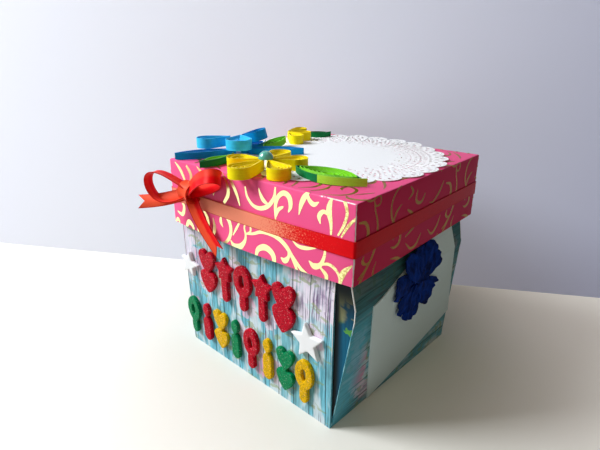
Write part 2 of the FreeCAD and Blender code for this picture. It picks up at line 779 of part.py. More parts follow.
def side_card_face():
    """The white card's outline, turned on its wall."""
    wide, tall = size("side_card_width") / 2, size("side_card_height") / 2
    corners = []
    for x, y in ((-wide, -tall), (wide, -tall), (wide, tall), (-wide, tall)):
        u, z = turned(x, y, size("side_card_turn"))
        corners.append(Vector(u + size("side_card_along"), z + size("side_card_up"), 0))
    return Part.Face(Part.makePolygon(corners + corners[:1]))


CARD_LOW = size("glue_gap")
CARD_HIGH = CARD_LOW + size("side_card_thick")
add_shape("side_card", pressed_on("right", [side_card_face()], CARD_LOW, CARD_HIGH).Solids[0])


def petal_face(x, y, heading, length, wide):
    """One petal: an oval whose inner end reaches the flower's middle."""
    middle_x, middle_y = turned(0.56 * length, 0.0, heading)
    edge = Part.Ellipse(Vector(0, 0, 0), 0.5 * length, 0.5 * wide).toShape()
    face = Part.Face(Part.Wire([edge]))
    face.Placement = Placement(Vector(x + middle_x, y + middle_y, 0), Rotation(Vector(0, 0, 1), heading))
    return face


# The side flower's petals: heading, then length and width in button widths.
SIDE_PETALS = [(35, 3.0, 2.4), (115, 2.3, 2.1), (168, 2.8, 2.2), (252, 2.4, 2.1), (322, 2.7, 1.9)]


def side_flower():
    """A flower of five overlapping petals, with a button in the middle."""
    x, y, button = size("side_flower_along"), size("side_flower_up"), size("button_wide")
    low = CARD_HIGH + size("glue_gap")
    solids = []
    for number, (heading, length, wide) in enumerate(SIDE_PETALS):
        high = low + size("petal_thick") + size("petal_step") * number
        face = petal_face(x, y, heading, length * button, wide * button)
        solids.append(pressed_on("right", [face], low, high))
    button_face = ellipse_face(x, y, button, button)
    solids.append(pressed_on("right", [button_face], low, low + size("button_thick")))
    whole = fused([solid for group in solids for solid in group.Solids])
    corner = Vector(-2 * BASE, -2 * BASE, 0)
    below_lid = Part.makeBox(4 * BASE, 4 * BASE, LID_RIM - size("lid_seat"), corner)
    return whole.common(below_lid).Solids[0]


add_shape("side_flower", side_flower())


# ---------------------------------------------------------------- check and write

doc.recompute()
for item in doc.Objects:
    if "Invalid" in item.State or "Error" in item.State:
        raise RuntimeError(f"{item.Label} is not built: {item.State}")
for item in SUB_PARTS:
    if item.Shape.isNull() or not item.Shape.isValid() or not item.Shape.Solids:
        raise RuntimeError(f"{item.Label} has no valid solid")

os.makedirs("parts", exist_ok=True)
for item in SUB_PARTS:
    item.Shape.exportStep(f"parts/{item.Label}.step")
    box = item.Shape.optimalBoundingBox(False, False)
    print(f"{item.Label}: {len(item.Shape.Solids)} solid, {item.Shape.Volume:.1f} mm3, "
          f"z {box.ZMin:.2f} to {box.ZMax:.2f}")
print(len(SUB_PARTS), "sub-parts")
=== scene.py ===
import math
from contextlib import contextmanager

import bmesh
import bpy
from bpy.props import FloatProperty, FloatVectorProperty, IntProperty, PointerProperty
from mathutils import Matrix, Vector, noise
from mathutils.bvhtree import BVHTree


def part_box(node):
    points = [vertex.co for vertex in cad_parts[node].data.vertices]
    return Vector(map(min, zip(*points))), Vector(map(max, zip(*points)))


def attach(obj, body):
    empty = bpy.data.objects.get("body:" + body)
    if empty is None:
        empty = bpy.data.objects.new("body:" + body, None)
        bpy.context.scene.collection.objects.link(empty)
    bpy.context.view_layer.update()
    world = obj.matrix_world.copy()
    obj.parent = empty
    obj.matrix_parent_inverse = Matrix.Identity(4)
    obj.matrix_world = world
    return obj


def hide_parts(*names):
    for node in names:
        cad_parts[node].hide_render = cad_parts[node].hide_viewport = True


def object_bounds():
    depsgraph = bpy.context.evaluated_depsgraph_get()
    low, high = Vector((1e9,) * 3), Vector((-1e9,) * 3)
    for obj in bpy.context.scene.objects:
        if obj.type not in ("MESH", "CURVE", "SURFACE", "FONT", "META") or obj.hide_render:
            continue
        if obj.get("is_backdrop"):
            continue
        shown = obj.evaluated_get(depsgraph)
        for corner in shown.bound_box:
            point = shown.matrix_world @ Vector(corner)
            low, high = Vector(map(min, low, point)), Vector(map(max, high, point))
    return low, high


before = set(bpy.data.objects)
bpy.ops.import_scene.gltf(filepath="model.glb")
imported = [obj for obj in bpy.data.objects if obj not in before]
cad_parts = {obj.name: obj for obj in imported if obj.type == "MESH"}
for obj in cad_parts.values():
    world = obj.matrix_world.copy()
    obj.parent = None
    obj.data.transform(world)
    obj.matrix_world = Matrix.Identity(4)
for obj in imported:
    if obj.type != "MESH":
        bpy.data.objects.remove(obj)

# The looks of an explosion box: a printed card box under a lid with a ribbon,
# a paper doily and quilled flowers. Metres, +Z up, in the frame of the part.

bl_info = {
    "name": "Explosion box",
    "version": (1, 0, 0),
    "blender": (4, 5, 0),
    "location": "3D View > Sidebar > Explosion box",
    "description": "Dresses the explosion box: printed card, ribbon, doily, quilled flowers and foam shapes",
    "category": "Object",
}

CAD_LOW, CAD_HIGH = (corner.copy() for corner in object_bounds())
MM = 0.001


# ---------------------------------------------------------------- sizes and colours

def rgb(red, green, blue):
    """A screen colour of 0 to 255 as the linear colour that shaders take."""
    parts = []
    for value in (red, green, blue):
        share = value / 255
        parts.append(share / 12.92 if share <= 0.04045 else ((share + 0.055) / 1.055) ** 2.4)
    return (*parts, 1.0)


def number(name, text, default, low=0.0, **more):
    """A number that a user may change."""
    return FloatProperty(name=name, description=text, default=default, min=low, **more)


def length(name, text, default):
    """A size in metres that a user may change."""
    return number(name, text, default, subtype="DISTANCE", unit="LENGTH", precision=5)


def colour(name, text, red, green, blue):
    """A colour that a user may change."""
    return FloatVectorProperty(name=name, description=text, default=rgb(red, green, blue)[:3],
                               size=3, subtype="COLOR", min=0.0, max=1.0)


class PrintLook(bpy.types.PropertyGroup):
    plank: length("Plank width", "Width of one printed plank", 0.0098)
    sky: colour("Plank blue", "Light blue of the printed planks", 130, 208, 228)
    deep: colour("Plank teal", "Dark teal of the worn streaks", 84, 152, 168)
    blossom: colour("Blossom", "Pale petals of the printed blossoms", 238, 228, 242)
    lilac: colour("Blossom shade", "Shaded petals of the printed blossoms", 150, 112, 158)
    crease: length("Crease", "Radius of the box's worn upright creases", 0.0003)


class LidLook(bpy.types.PropertyGroup):
    # Of the two pinks, the first is the lit copy for the top and front and the second carries painted shade
    # for the side skirts.
    card: colour("Lid card", "Pink of the lid's card, on its top and front", 251, 92, 148)
    shaded_card: colour("Lid card, sides", "Deeper pink of the other skirts", 210, 26, 80)
    # Of the two golds, the first is a painted pale reflection for the front and the second carries painted
    # shade for the other sides.
    gold: colour("Gold print", "Pale gold of the scrolls on the front", 255, 248, 178)
    shaded_gold: colour("Deep gold", "Gold of the scrolls on the other sides", 178, 134, 50)
    front_stroke: number("Front strokes", "Width of the front's scroll strokes, as a share", 0.80)
    side_stroke: number("Other strokes", "Width of the other scroll strokes, as a share", 0.52)
    repeat_wide: length("Repeat, across", "Width of one repeat of the scrolls", 0.112)
    repeat_tall: length("Repeat, down", "Height of one repeat of the scrolls", 0.036)
    foil: length("Foil", "How far the print stands off the card", 0.00006)
    crease: length("Crease", "Radius of the folded edges", 0.0006)


class RibbonLook(bpy.types.PropertyGroup):
    red: colour("Satin", "Red of the satin ribbon", 234, 4, 20)
    # The next two colours are painted light: a salmon sheen for the band's front run and an orange highlight
    # for the bow's knot and tails.
    painted_sheen: colour("Faded satin", "Salmon of the ribbon's faded front run", 255, 146, 116)
    folds: colour("Pale folds", "Orange red of the bow's knot and tails", 255, 92, 58)
    wide: length("Ribbon width", "Width of the ribbon", 0.0067)
    thick: length("Ribbon thickness", "Thickness of the ribbon", 0.0004)
    notch: length("Notch", "Depth of the cut in a tail's end", 0.0037)


class QuillLook(bpy.types.PropertyGroup):
    strip: length("Strip", "Thickness of the rolled paper strip", 0.00026)
    pitch: length("Turn spacing", "Distance between turns at a coil's sides", 0.00095)
    sink: length("Sink", "How far a coil's heart lies below its rim", 0.0012)
    heart: number("Inner turn", "Size of the last turn against the first", 0.16, 0.05, max=0.9,
                  subtype="FACTOR")
    yellow: colour("Yellow strips", "Colour of the yellow strips", 255, 222, 0)
    lime: colour("Lime", "Colour of the front right leaf's outer tip", 158, 228, 62)
    light_blue: colour("Light blue strips", "Colour of the light blue strips", 58, 196, 248)
    blue: colour("Blue strips", "Colour of the deep blue strips", 0, 154, 222)
    light_green: colour("Light green strips", "Colour of the light green strips", 128, 212, 34)
    green: colour("Green strips", "Colour of the dark green strips", 6, 118, 62)


class DoilyLook(bpy.types.PropertyGroup):
    scallops: IntProperty(name="Scallops", description="Scallops round the rim", default=26, min=8, max=60)
    curl: length("Curl", "How far the rim curls up", 0.0011)
    shift: length("Shift", "How far the lace lies to the left on its solid", 0.0014)
    paper: length("Paper", "Thickness of the lace paper", 0.0003)
    trim: length("Trim", "How far the lace ends inside its solid", 0.0010)


class FoamLook(bpy.types.PropertyGroup):
    grain: length("Glitter grain", "Size of one glitter flake", 0.00042)
    puff: length("Puff", "Voxel size that rounds the foam's edges", 0.00034)
    red: colour("Red foam", "Colour of the red glitter foam", 198, 0, 36)
    green: colour("Green foam", "Colour of the green glitter foam", 0, 138, 84)
    yellow: colour("Yellow foam", "Colour of the yellow glitter foam", 240, 188, 0)


class StageLook(bpy.types.PropertyGroup):
    key: number("Key light", "Power of the big soft lamp", 14.6, unit="POWER")
    fill: number("Sky light", "Strength of the world's light", 0.18)

# ---------------------------------------------------------------- materials

class Signal:
    """A node's output, reckoned with as a number would be."""

    def __init__(self, socket):
        self.socket = socket
        self.tree = socket.id_data

    def by(self, operation, *values):
        """The result of a Math node on this and any more values."""
        return signal(self.tree, "ShaderNodeMath", dict(enumerate((self, *values))), operation=operation)

    def __add__(self, other):
        return self.by("ADD", other)

    def __sub__(self, other):
        return self.by("SUBTRACT", other)

    def __mul__(self, other):
        return self.by("MULTIPLY", other)

    def __truediv__(self, other):
        return self.by("DIVIDE", other)

    def __rsub__(self, other):
        return signal(self.tree, "ShaderNodeMath", {0: other, 1: self}, operation="SUBTRACT")

    def __rtruediv__(self, other):
        return signal(self.tree, "ShaderNodeMath", {0: other, 1: self}, operation="DIVIDE")

    def __gt__(self, other):
        return self.by("GREATER_THAN", other)

    def __abs__(self):
        return self.by("ABSOLUTE")


def wire(socket, value):
    """Links a signal to a node's input, or sets the input's own value."""
    if isinstance(value, Signal):
        socket.id_data.links.new(value.socket, socket)
    else:
        socket.default_value = value


def add(tree, kind, wires=None, **settings):
    """A node; wires are its inputs, each a value or a signal."""
    node = tree.nodes.new(kind)
    for name, value in settings.items():
        setattr(node, name, value)
    for name, value in (wires or {}).items():
        wire(node.inputs[name], value)
    return node


def signal(tree, kind, wires=None, output=0, **settings):
    """One output of a new node."""
    return Signal(add(tree, kind, wires, **settings).outputs[output])


def split(vector):
    """The three parts of a vector."""
    return [Signal(part) for part in add(vector.tree, "ShaderNodeSeparateXYZ", {0: vector}).outputs]


def vectors(operation, first, second):
    """The vector result of a Vector Math node."""
    return signal(first.tree, "ShaderNodeVectorMath", {0: first, 1: second}, operation=operation)


def reach_of(vector):
    """How long a vector is."""
    return signal(vector.tree, "ShaderNodeVectorMath", {0: vector}, "Value", operation="LENGTH")


def facing(tree):
    """How far a face looks along X, Y and Z."""
    return split(signal(tree, "ShaderNodeNewGeometry", output="Normal"))


def ramp(value, low, high, start=0.0, end=1.0):
    """Smoothly from start to end as the value goes from low to high."""
    wires = {"Value": value, "From Min": low, "From Max": high, "To Min": start, "To Max": end}
    return signal(value.tree, "ShaderNodeMapRange", wires, interpolation_type="SMOOTHSTEP")


def mixed(share, first, second):
    """A colour between two, by share."""
    factor, colour_a, colour_b, result = 0, 6, 7, 2
    wires = {factor: share, colour_a: first, colour_b: second}
    return signal(share.tree, "ShaderNodeMix", wires, result, data_type="RGBA", clamp_result=True)


def coated(base, *coats):
    """A colour under coats of others, each with its share."""
    for share, tone in coats:
        base = mixed(share, base, tone)
    return base


def shades(base, dark, light, share):
    """The base colour, from dark times it to light times it."""
    low = (*(part * dark for part in base[:3]), 1.0)
    high = (*(min(1.0, part * light) for part in base[:3]), 1.0)
    return mixed(share, low, high)


def towards_white(tone, share):
    """A colour made paler by a share."""
    return (*(part + (1 - part) * share for part in tone), 1)


def stretched(vector, scale, move=(0, 0, 0)):
    """Coordinates scaled per axis."""
    return signal(vector.tree, "ShaderNodeMapping", {"Vector": vector, "Scale": scale, "Location": move})


def grain(vector, scale, detail=2.0, rough=0.5, distort=0.0):
    """A soft noise of 0 to 1."""
    wires = {"Vector": vector, "Scale": scale, "Detail": detail, "Roughness": rough, "Distortion": distort}
    return signal(vector.tree, "ShaderNodeTexNoise", wires, "Fac")


def cells(vector, scale):
    """Cells scattered over a surface: each one's own three numbers, and how far a point is from its
    middle."""
    node = add(vector.tree, "ShaderNodeTexVoronoi", {"Vector": vector, "Scale": scale}, feature="F1")
    return split(Signal(node.outputs["Color"])), Signal(node.outputs["Distance"])


def finish(name, rough, uv=False, **more):
    """A new material: (material, its shader, the coordinates that its pattern follows)."""
    material = bpy.data.materials.new(name)
    material.use_nodes = True
    tree = material.node_tree
    tree.nodes.clear()
    shader = add(tree, "ShaderNodeBsdfPrincipled", {"Roughness": rough})
    for socket, value in more.items():
        shader.inputs[socket.replace("_", " ")].default_value = value
    add(tree, "ShaderNodeOutputMaterial", {"Surface": Signal(shader.outputs[0])})
    if uv:
        return material, shader, signal(tree, "ShaderNodeUVMap", uv_map="sheet")
    return material, shader, signal(tree, "ShaderNodeTexCoord", output="Object")


def paint(shader, tone, height, distance, strength):
    """Gives the shader its colour and presses a height pattern into the surface."""
    wire(shader.inputs["Base Color"], tone)
    wires = {"Height": height, "Distance": distance, "Strength": strength}
    wire(shader.inputs["Normal"], signal(height.tree, "ShaderNodeBump", wires))


# The printed blossoms on the flat sheet: middle and radius in mm.
BLOSSOMS = [
    (-43, -126, 15), (-47, -104, 11), (-27, -131, 12), (-33, -98, 10), (-18, -97, 9), (-49, -74, 8),
    (-10, -108, 8), (-2, -92, 7), (35, -127, 16), (20, -133, 9), (46, -113, 12), (29, -106, 9), (7, -66, 10),
    (-6, -73, 8), (20, -62, 8), (14, -90, 6), (40, -92, 7),
    (58.5, -119, 3.4), (61.5, -110, 2.6), (59, -103, 2.2),
    (84, -40, 8), (70, -36, 7), (97, -43, 6), (62, -28, 7), (112, 36, 9), (84, 34, 9),
    (-80, -30, 11), (-112, 8, 10), (-72, 34, 9), (-128, -38, 8), (-96, 44, 9), (-138, 26, 8),
    (-30, 84, 10), (12, 112, 11), (38, 74, 9), (-44, 130, 9), (30, 138, 8), (-8, 64, 8), (0, 0, 12),
]


def blossom_group():
    """One printed blossom: its petals' mask and how deep in them a point lies."""
    tree = bpy.data.node_groups.new("Printed blossom", "ShaderNodeTree")
    for name, kind in (("Place", "Vector"), ("Centre", "Vector"), ("Radius", "Float")):
        tree.interface.new_socket(name, in_out="INPUT", socket_type=f"NodeSocket{kind}")
    for name in ("Mask", "Depth"):
        tree.interface.new_socket(name, in_out="OUTPUT", socket_type="NodeSocketFloat")
    place, centre, radius = [Signal(socket) for socket in add(tree, "NodeGroupInput").outputs[:3]]
    off = vectors("SUBTRACT", place, centre)
    x, y, _ = split(off)
    lobes = abs((y.by("ARCTAN2", x) * 2.5).by("SINE"))
    share = reach_of(off) / ((lobes * 0.38 + 0.66) * radius)
    veins = (1.0 - lobes).by("POWER", 5.0) * 0.8
    depth = veins.by("MAXIMUM", ramp(share, 0.34, 0.02))
    add(tree, "NodeGroupOutput", {"Mask": ramp(share, 1.06, 0.84), "Depth": depth})
    return tree


def printed_blossoms(place):
    """All the printed blossoms: their mask and how deep in the petals a point lies."""
    group = blossom_group()
    bloom, depth = None, None
    for x, y, radius in BLOSSOMS:
        spot = add(place.tree, "ShaderNodeGroup", node_tree=group)
        wire(spot.inputs["Place"], place)
        wire(spot.inputs["Centre"], (x * MM, y * MM, 0))
        wire(spot.inputs["Radius"], radius * MM)
        mask = Signal(spot.outputs["Mask"])
        inside = mask * Signal(spot.outputs["Depth"])
        bloom = bloom.by("MAXIMUM", mask) if bloom else mask
        depth = depth.by("MAXIMUM", inside) if depth else inside
    return bloom, depth


def printed_leaves(flat, turn, seed):
    """Small slim leaves scattered over the sheet, all leaning one way."""
    spread = signal(flat.tree, "ShaderNodeMapping",
                    {"Vector": flat, "Rotation": (0, 0, turn), "Scale": (110, 420, 1),
                     "Location": (seed, seed * 2.3, 0)})
    numbers, distance = cells(spread, 1.0)
    return ramp(distance, 0.42, 0.30) * (numbers[0] > 0.72)


def front_print(look, flat, sheet_x, long_grain):
    """The print as it is on most of the sheet: (its colour, the blossoms' mask)."""
    fine_grain = grain(stretched(flat, (3400, 120, 1)), 1.0, 2.0, 0.6)
    wear = grain(stretched(flat, (150, 34, 1), (3, 7, 0)), 1.0, 3.0, 0.6)
    plank = (sheet_x + grain(flat, 30) * 0.0022) / look.plank
    tone = signal(flat.tree, "ShaderNodeTexWhiteNoise", {"W": plank.by("FLOOR")}, "Value",
                  noise_dimensions="1D")
    planks = coated(mixed(ramp(long_grain, 0.38, 0.60), (*look.deep, 1), (*look.sky, 1)),
                    (ramp(tone, 0.3, 1.0) * 0.5, rgb(142, 198, 206)),
                    (ramp(wear, 0.47, 0.61) * 0.84, rgb(226, 238, 243)),
                    (ramp(wear, 0.44, 0.30) * 0.5, rgb(70, 110, 112)))

    wander = signal(flat.tree, "ShaderNodeTexNoise", {"Vector": flat, "Scale": 120.0, "Detail": 3.0}, "Color")
    nudge = signal(flat.tree, "ShaderNodeVectorMath",
                   {0: vectors("SUBTRACT", wander, (0.5, 0.5, 0.5)), "Scale": 0.013}, operation="SCALE")
    place = vectors("ADD", flat, nudge)
    bloom, depth = printed_blossoms(place)
    petals = coated(mixed(ramp(grain(flat, 34, 2.0), 0.46, 0.62), (*look.blossom, 1), rgb(226, 164, 198)),
                    (depth * 0.75, (*look.lilac, 1)))
    dusk = ramp(grain(flat, 24, 1.0), 0.52, 0.66) * ramp(long_grain, 0.50, 0.40)
    leaves = printed_leaves(place, 0.7, 4.0).by("MAXIMUM", printed_leaves(place, -0.9, 9.0))
    gap = ramp(abs(plank.by("FRACT") - 0.5), 0.464, 0.490)
    return coated(planks,
                  (bloom * ramp(long_grain, 0.36, 0.56, 0.30, 1.0), petals),
                  (dusk * 0.90, rgb(116, 80, 124)),
                  (leaves * 0.55, rgb(150, 168, 96)),
                  (ramp(fine_grain, 0.42, 0.28) * 0.34, rgb(52, 74, 92)),
                  (gap * 0.86, rgb(22, 42, 58))), bloom


def printed_card(look, half):
    """Card printed with worn planks and soft blossoms; its side wings carry painted shade."""
    material, shader, flat = finish("printed plank card", 0.6, uv=True, Specular_IOR_Level=0.14)
    sheet_x, sheet_y, _ = split(flat)
    long_grain = grain(stretched(flat, (1000, 42, 1)), 1.0, 4.0, 0.66)
    now, bloom = front_print(look, flat, sheet_x, long_grain)

    # The right flap is printed greener, with painted shade that darkens it towards its edge under the lid,
    # and a clear blue beside its front crease.
    on_right = sheet_x > half
    # Greener print and painted shade: this share grows towards the lid.
    green = ramp(sheet_x, half + 0.022, half + 0.070, 0.16, 0.88) * on_right
    beside = ramp(sheet_y, 0.019 - half, 0.009 - half, 0.0, 0.72) * ramp(sheet_x, half + 0.066, half + 0.048)

    # A wing lies beyond a flap's end, at x past the base and y past it too.
    outside, up = abs(sheet_x) - half, abs(sheet_y) - half
    on_wing = (outside > 0.00002) * (up > 0.0)
    # Painted shade: the wing is dark teal, darker still near the front wall's edge and towards the lid.
    painted_shade = ramp(outside, 0.0056, 0.0012).by("MAXIMUM", ramp(up, 0.046, 0.070))
    bud = mixed(ramp(up, 0.057, 0.054), rgb(186, 182, 120), rgb(104, 176, 40))
    shaded_wing = coated(shades(rgb(20, 104, 138), 0.35, 1.1, long_grain),
                  (bloom * 0.75, bud), (painted_shade, rgb(5, 14, 16)))

    now = coated(now,
                 (green, shades(rgb(40, 84, 76), 0.55, 1.3, long_grain)),
                 (beside * on_right, shades(rgb(108, 220, 248), 0.5, 1.0, long_grain)),
                 (on_wing, shaded_wing))
    paint(shader, now, long_grain, 0.00004, 0.5)
    return material


def plain_card(name, tone, rough=0.75, speck=0.06):
    """Uncoated card: a plain colour with faint fibres."""
    material, shader, flat = finish(name, rough, Specular_IOR_Level=0.3)
    fibres = grain(flat, 900, 3.0, 0.7)
    share = fibres * 0.5 + grain(flat, 45, 2.0) * 0.5
    paint(shader, shades(tone, 1.0 - speck, 1.0 + speck * 0.6, share), fibres, 0.00003, 0.4)
    return material


def worn_fold(core_above):
    """A rubbed crease: teal print below, bare white card towards the top."""
    material, shader, flat = finish("worn crease", 0.7, Specular_IOR_Level=0.3)
    rubbed = grain(stretched(flat, (900, 900, 160)), 1.0, 3.0, 0.6)
    torn = ramp(rubbed * 0.02 + split(flat)[2], core_above, core_above + 0.008)
    print_left = mixed(ramp(rubbed, 0.40, 0.62), rgb(56, 140, 160), rgb(150, 208, 220))
    paint(shader, mixed(torn, print_left, rgb(238, 236, 232)), rubbed, 0.00005, 0.5)
    return material


def lid_card(look):
    """Smooth coated pink card with painted shade on its side skirts, that shows its white core along worn
    folds and a painted highlight on the front's upper crease.
    """
    material, shader, flat = finish("pink lid card", 0.5, Specular_IOR_Level=0.08, Coat_Weight=0.06,
                                    Coat_Roughness=0.35)
    cloud = grain(flat, 28, 3.0)
    pink = shades((*look.card, 1), 0.88, 1.05, cloud)
    deep = shades((*look.shaded_card, 1), 0.88, 1.05, cloud)
    # Painted shade: faces that look along X take the deeper pink.
    shaded_side = ramp(abs(facing(flat.tree)[0]), 0.6, 0.9)
    # The wear attribute holds worn white core and a painted highlight on the front's upper crease.
    edge = signal(flat.tree, "ShaderNodeAttribute", output="Fac", attribute_name="wear")
    rubbed = grain(stretched(flat, (700, 700, 120)), 1.0, 3.0, 0.65)
    worn = ramp(edge + rubbed * 0.9, 1.02, 1.12)
    card = coated(pink, (shaded_side, deep), (worn, rgb(244, 232, 232)))
    paint(shader, card, grain(flat, 700, 2.0), 0.00002, 0.3)
    return material


def gold_foil(look):
    """The printed scrolls: gold foil, rubbed, with a painted pale reflection on the lid's front and painted
    shade elsewhere, darkest at the right skirt's near end."""
    material, shader, flat = finish("gold foil", 0.38, Metallic=0.92)
    cloud = grain(flat, 120, 3.0, 0.6)
    rubbed = grain(flat, 900, 3.0, 0.65)
    looks_x, looks_y, _ = facing(flat.tree)
    x, y, _ = split(flat)
    # Painted reflection: the front turns pale gold, mottled by rubbing and stronger towards the left.
    whole = rubbed + ramp(x, 0.070, 0.022, -0.10, 0.45)
    front = ramp(looks_y, -0.6, -0.9) * ramp(whole, 0.40, 0.62, 0.35, 1.0)
    # Painted shade: the right skirt darkens towards its near end.
    near = ramp(looks_x, 0.6, 0.9) * ramp(y, 0.040, -0.035)
    gold = coated(shades((*look.shaded_gold, 1), 0.80, 1.10, cloud),
                  (near * 0.8, rgb(128, 84, 26)),
                  (front, shades((*look.gold, 1), 0.88, 1.06, cloud)))
    paint(shader, gold, grain(flat, 1600, 2.0), 0.00001, 0.4)
    return material


def satin(look, name, painted_sheen_run=0.0, folds=0.34, fold_edge=0.0014):
    """Satin ribbon with fine threads and woven edges: the band's front run has a painted salmon sheen, the
    bow a painted orange highlight."""
    material, shader, flat = finish(name, 0.42, uv=True, Specular_IOR_Level=0.13, Anisotropic=0.7,
                                    Specular_Tint=(1.0, 0.55, 0.42, 1.0), Anisotropic_Rotation=0.25)
    lengthwise = signal(flat.tree, "ShaderNodeTangent", direction_type="UV_MAP", uv_map="sheet")
    wire(shader.inputs["Tangent"], lengthwise)
    along, across, _ = split(flat)
    threads = grain(stretched(flat, (5200, 500, 1)), 1.0, 2.0, 0.6)
    slubs = grain(stretched(flat, (260, 900, 1)), 1.0, 2.0)
    share = threads * 0.6 + slubs * 0.4
    body = shades((*look.red, 1), 0.78, 1.18, share)
    if painted_sheen_run:
        # Painted sheen: salmon over the front run, mottled by glints and stronger towards the left.
        glints = grain(stretched(flat, (1500, 1100, 1)), 1.0, 3.0, 0.7)
        left = ramp(along, 0.98 * painted_sheen_run, 0.40 * painted_sheen_run, -0.20, 0.34)
        started = ramp(along, 0.0, 0.03 * painted_sheen_run)
        painted_sheen = ramp(glints + left, 0.42, 0.66) * started
        # Past the front run the band gets painted shade, a deeper red.
        body = coated(body, (ramp(along, painted_sheen_run, 1.03 * painted_sheen_run, 0.0, 0.4),
                             shades(rgb(176, 0, 26), 0.78, 1.18, share)))
    else:
        # Painted highlight: the bow's tapes turn paler towards one edge.
        painted_sheen = ramp(slubs * 0.0016 + across, fold_edge, fold_edge - 0.0016) * folds
    pale = shades((*(look.painted_sheen if painted_sheen_run else look.folds), 1), 0.90, 1.08, share)
    selvage = ramp(abs(across), 0.43 * look.wide, 0.475 * look.wide)
    body = coated(body, (painted_sheen, pale), (selvage * 0.6, shades((*look.red, 1), 0.5, 0.6, threads)))
    paint(shader, body, threads + selvage * 0.8, 0.00004, 0.5)
    return material


def quill_paper(name, tone):
    """Coloured paper of the rolled strips: matt, faintly fibrous, paler on its cut edges."""
    material, shader, flat = finish(name, 0.55, Specular_IOR_Level=0.14)
    fibres = grain(flat, 1400, 3.0, 0.65)
    layers = grain(stretched(flat, (50, 50, 2400)), 1.0, 2.0, 0.5)
    share = fibres * 0.3 + (grain(flat, 160, 2.0) * 0.3 + layers * 0.4)
    richer = (*(0.90 * part ** 1.07 for part in tone), 1)
    lighter = (*(min(1.0, 1.14 * part) for part in tone), 1)
    cut = ramp(facing(flat.tree)[2], 0.80, 0.95) * 0.22
    body = coated(mixed(ramp(share, 0.28, 0.58), richer, lighter), (cut, towards_white(tone, 0.35)))
    paint(shader, body, fibres + layers, 0.00004, 0.5)
    return material


def lace_paper():
    """Thin white paper, embossed with rays and little beads."""
    material, shader, flat = finish("white lace paper", 0.7, uv=True, Specular_IOR_Level=0.3)
    x, y, _ = split(flat)
    reach = reach_of(flat)
    rays = (y.by("ARCTAN2", x) * 52.0).by("SINE") * ramp(reach, 0.008, 0.030)
    rings = (reach * 1900.0).by("SINE")
    fibres = grain(flat, 800, 3.0, 0.6)
    paint(shader, mixed(fibres, rgb(242, 242, 246), rgb(255, 255, 255)), rays * 0.4 + (rings * 0.3 + fibres),
          0.00006, 0.4)
    return material


def glitter(name, tone, size):
    """Foam covered in fine glitter: each flake has its own shade and tilt, and a few flakes carry a painted
    glint.
    """
    material, shader, flat = finish(name, 0.5, Specular_IOR_Level=0.16,
                                    Specular_Tint=(*(0.4 + 0.6 * part for part in tone), 1))
    (shade, turn, gloss), distance = cells(flat, 1.0 / size)
    # Painted glint: a few flakes turn paler, towards white.
    body = coated(shades((*tone, 1), 0.55, 1.15, shade), ((turn > 0.955) * 0.7, towards_white(tone, 0.22)))
    wire(shader.inputs["Roughness"], ramp(gloss, 0.0, 1.0, 0.30, 0.70))
    paint(shader, body, turn * 0.5 + distance, 0.00010, 0.6)
    return material


def crepe_paper():
    """Deep blue crepe paper of the side flower: soft, creased and fibrous."""
    material, shader, flat = finish("royal blue crepe", 0.9, Specular_IOR_Level=0.12)
    crinkle = grain(stretched(flat, (160, 300, 200)), 1.0, 4.0, 0.65, 0.6)
    folds = ramp(grain(flat, 95, 2.0), 0.50, 0.32)
    body = coated(mixed(ramp(crinkle, 0.32, 0.68), rgb(4, 22, 74), rgb(12, 56, 150)),
                  (folds * 0.7, rgb(2, 10, 40)))
    paint(shader, body, grain(flat, 1500, 2.0) * 0.3 + crinkle, 0.0005, 0.7)
    return material


def pearl_finish():
    """Turquoise pearl: a glossy coat over a milky body."""
    material, shader, flat = finish("turquoise pearl", 0.22, Specular_IOR_Level=0.6, Coat_Weight=0.8,
                                    Coat_Roughness=0.08)
    wire(shader.inputs["Base Color"], mixed(grain(flat, 260, 2.0), rgb(40, 150, 130), rgb(92, 196, 172)))
    return material


# ---------------------------------------------------------------- making meshes

def linked(name, data):
    """A new object at the scene's origin."""
    piece = bpy.data.objects.new(name, data)
    bpy.context.scene.collection.objects.link(piece)
    return piece


def settled(piece, body, slot, *nodes):
    """Attaches a finished piece to its body and hides the CAD nodes it stands for; its slot is not used."""
    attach(piece, body)
    if nodes:
        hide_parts(*nodes)
    return piece


def placed(name, mesh, body, slot, *nodes):
    """A piece at the origin, made from a finished mesh."""
    return settled(linked(name, mesh), body, slot, *nodes)


@contextmanager
def edited(mesh):
    """Opens a mesh and writes the changes back into it at the end."""
    work = bmesh.new()
    work.from_mesh(mesh)
    yield work
    work.to_mesh(mesh)
    work.free()


def smooth(mesh, angle):
    """Smooth faces with sharp creases."""
    with edited(mesh) as work:
        for face in work.faces:
            face.smooth = True
        for edge in work.edges:
            edge.smooth = len(edge.link_faces) == 2 and edge.calc_face_angle(0.0) < math.radians(angle)
    return mesh


def mesh_of(name, points, faces, *materials):
    """A mesh from points and faces."""
    mesh = bpy.data.meshes.new(name)
    mesh.from_pydata([tuple(p) for p in points], [], faces)
    for material in materials:
        mesh.materials.append(material)
    mesh.update()
    return mesh


def drawn_line(curve, points, closed=False):
    """Draws a line of straight runs through flat points into a curve."""
    spline = curve.splines.new("POLY")
    spline.points.add(len(points) - 1)
    for place, (x, y) in zip(spline.points, points):
        place.co = (x, y, 0, 1)
    spline.use_cyclic_u = closed


def ring_faces(near, far, count):
    """The faces between two rings of points, each a list's stretch of count points."""
    for step in range(count):
        after = (step + 1) % count
        yield near + step, near + after, far + after, far + step


def joined(points, faces, more_points, more_faces):
    """Adds points and the faces between them to those that are there."""
    first = len(points)
    points += more_points
    faces += [tuple(first + index for index in face) for face in more_faces]


